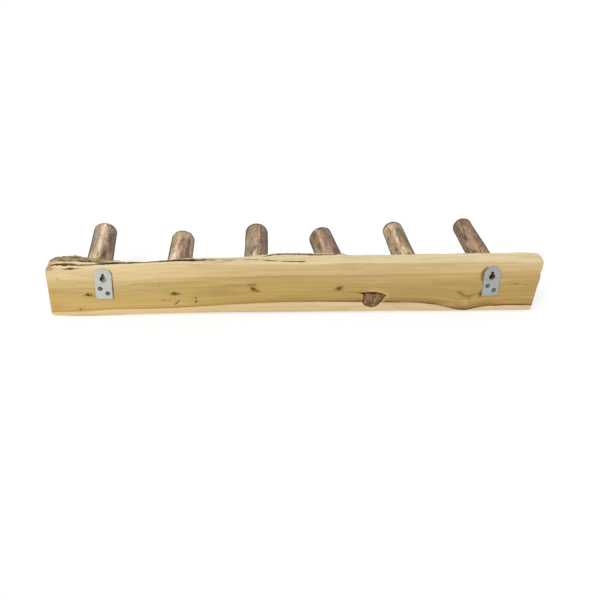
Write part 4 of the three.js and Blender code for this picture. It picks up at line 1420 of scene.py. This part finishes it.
def make_screw(number, place, finish):
    hanger = HANGERS[number - 1]
    x, z = in_hanger(hanger, *PLATE_SCREWS[place])
    spin = math.radians(25 + 40 * number + (17 if place == "upper" else 0))
    angle = np.linspace(0, 2 * math.pi, SCREW_POINTS, endpoint=False)
    rows, recess = [], []

    def ring(radius, y, mark=0.0):
        xs, zs = radius * np.cos(angle), radius * np.sin(angle)
        rows.append(np.stack([x + xs, np.broadcast_to(y, angle.shape), z + zs], axis=1))
        recess.append(np.broadcast_to(mark, angle.shape))

    pitch, tip = 1.8, 4.0
    for y in np.arange(-SCREW_LENGTH, -3.4, 0.22):
        point = min(1, (y + SCREW_LENGTH + 0.25) / tip)
        phase = (y / pitch + angle / (2 * math.pi)) % 1
        crest = np.clip(1 - np.abs(phase - 0.5) / 0.28, 0, 1)
        ring(SCREW_SHANK * point * (0.72 + 0.28 * crest), y)
    # painted shade on the head's rim and under it
    for radius, y in ((1.3, -3.2), (1.5, -2.5), (SCREW_HEAD - 0.05, -0.42), (SCREW_HEAD, -0.3),
                      (SCREW_HEAD, -0.16), (SCREW_HEAD - 0.12, -0.05)):
        ring(radius, y, 0.9 if radius > 3.8 else 0.2)
    ring(3.65, -0.02, 0.9)
    for radius in (3.45, 3.25, 3.0, 2.7, 2.45, 2.2, 1.95, 1.7, 1.45, 1.2, 1.0, 0.8, 0.6, 0.4, 0.2):
        across, up = radius * np.cos(angle + spin), radius * np.sin(angle + spin)
        depth = cross_depth(across, up, 2.2, 0.5, 1.5)
        # painted shadow of the countersink's gap over the head's outer part, and painted shade in the
        # cross recess
        screw_rim_shadow = 0.95 * smoothstep(radius, 2.1, 2.7)
        ring(radius, -0.02 - depth, np.clip(depth / 0.3 + screw_rim_shadow, 0, 1))
    mesh = stacked(f"plate_{number}_{place}_screw", rows)
    attribute(mesh, "recess", np.concatenate(recess))
    return show(mesh, finish, [f"plate_{number}_screw_{place}"], 35)


# ---- the stage, in metres ----
FLOOR_HALF = 40
FLOOR_DROP = 0.0012  # below the CAD model, which the visible board's wavy lower edge passes
SKY_LOW, SKY_HIGH = 0.40, 0.95  # brightness at the horizon and overhead
KEY_ENERGY = 1.2
KEY_SPREAD = 24  # degrees
KEY_FROM = (0.457, 0.523, 0.719)


def make_floor():
    """A plain pale floor that the board's lowest edge stands on."""
    mesh = bpy.data.meshes.new("floor")
    size, height = FLOOR_HALF, cad_low.z - FLOOR_DROP
    mesh.from_pydata(
        [(-size, -size, height), (size, -size, height), (size, size, height),
         (-size, size, height)], [], [(0, 1, 2, 3)])
    made = Finish("floor")
    soft = made.noise(made.position(), (0.6, 0.6, 0.6), 2)
    shade = made.scaled((0.42, 0.42, 0.42, 1), made.between(soft, 0, 1, 0.98, 1.0))
    made.shader.inputs["Emission Color"].default_value = (1, 1, 1, 1)
    made.shader.inputs["Emission Strength"].default_value = 0.62
    mesh.materials.append(made.finished(shade, 0.9, specular=0.0))
    new_object("floor", mesh)


def light_the_stage():
    world = bpy.data.worlds.new("studio")
    world.use_nodes = True
    tree = world.node_tree
    background = tree.nodes["Background"]
    background.inputs["Color"].default_value = (1, 1, 1, 1)
    direction = tree.nodes.new("ShaderNodeTexCoord")
    height = tree.nodes.new("ShaderNodeSeparateXYZ")
    sky = tree.nodes.new("ShaderNodeMapRange")
    sky.inputs["To Min"].default_value = SKY_LOW
    sky.inputs["To Max"].default_value = SKY_HIGH
    tree.links.new(direction.outputs["Generated"], height.inputs[0])
    tree.links.new(height.outputs["Z"], sky.inputs["Value"])
    tree.links.new(sky.outputs["Result"], background.inputs["Strength"])
    bpy.context.scene.world = world
    key = bpy.data.lights.new("key", "SUN")
    key.energy = KEY_ENERGY
    key.angle = math.radians(KEY_SPREAD)
    lamp = new_object("key", key)
    lamp.rotation_mode = "QUATERNION"
    lamp.rotation_quaternion = Vector(KEY_FROM).to_track_quat("Z", "Y")
    bpy.context.scene.view_settings.view_transform = "Standard"
    bpy.context.scene.view_settings.look = "None"


CAMERA_PLACE = (0.0901, 1.1059, 0.5377)  # metres
CAMERA_TURN = (-4.57, 28.16, 1.64)  # degrees of yaw, of looking down and of roll
CAMERA_LENS = 40.69


def make_camera():
    """Looks down at the back of the rail, a little from its +X side."""
    yaw, pitch, roll = (math.radians(degrees) for degrees in CAMERA_TURN)
    forward = Vector((math.sin(yaw) * math.cos(pitch), -math.cos(yaw) * math.cos(pitch),
                      -math.sin(pitch)))
    level = forward.cross(Vector((0, 0, 1))).normalized()
    upright = level.cross(forward)
    right = level * math.cos(roll) + upright * math.sin(roll)
    up = right.cross(forward)
    data = bpy.data.cameras.new("camera")
    data.lens = CAMERA_LENS
    data.sensor_width = 36
    data.clip_end = 100
    camera = new_object("camera", data)
    turn = Matrix((right, up, -forward)).transposed().to_4x4()
    camera.matrix_world = Matrix.Translation(CAMERA_PLACE) @ turn
    bpy.context.scene.camera = camera


make_camera()
light_the_stage()
make_floor()

make_board()
make_knot()
wood, filler, zinc, steel = peg_finish(), filler_finish(), zinc_finish(), steel_finish()
for number in range(1, len(PEGS) + 1):
    make_peg(number, wood)
    make_filler(number, filler)
    hidden_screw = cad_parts[f"peg_screw_{number}"]
    hidden_screw.data.materials.clear()
    hidden_screw.data.materials.append(steel)
for number in range(1, len(HANGERS) + 1):
    make_plate(number, zinc)
    for place in PLATE_SCREWS:
        make_screw(number, place, steel)
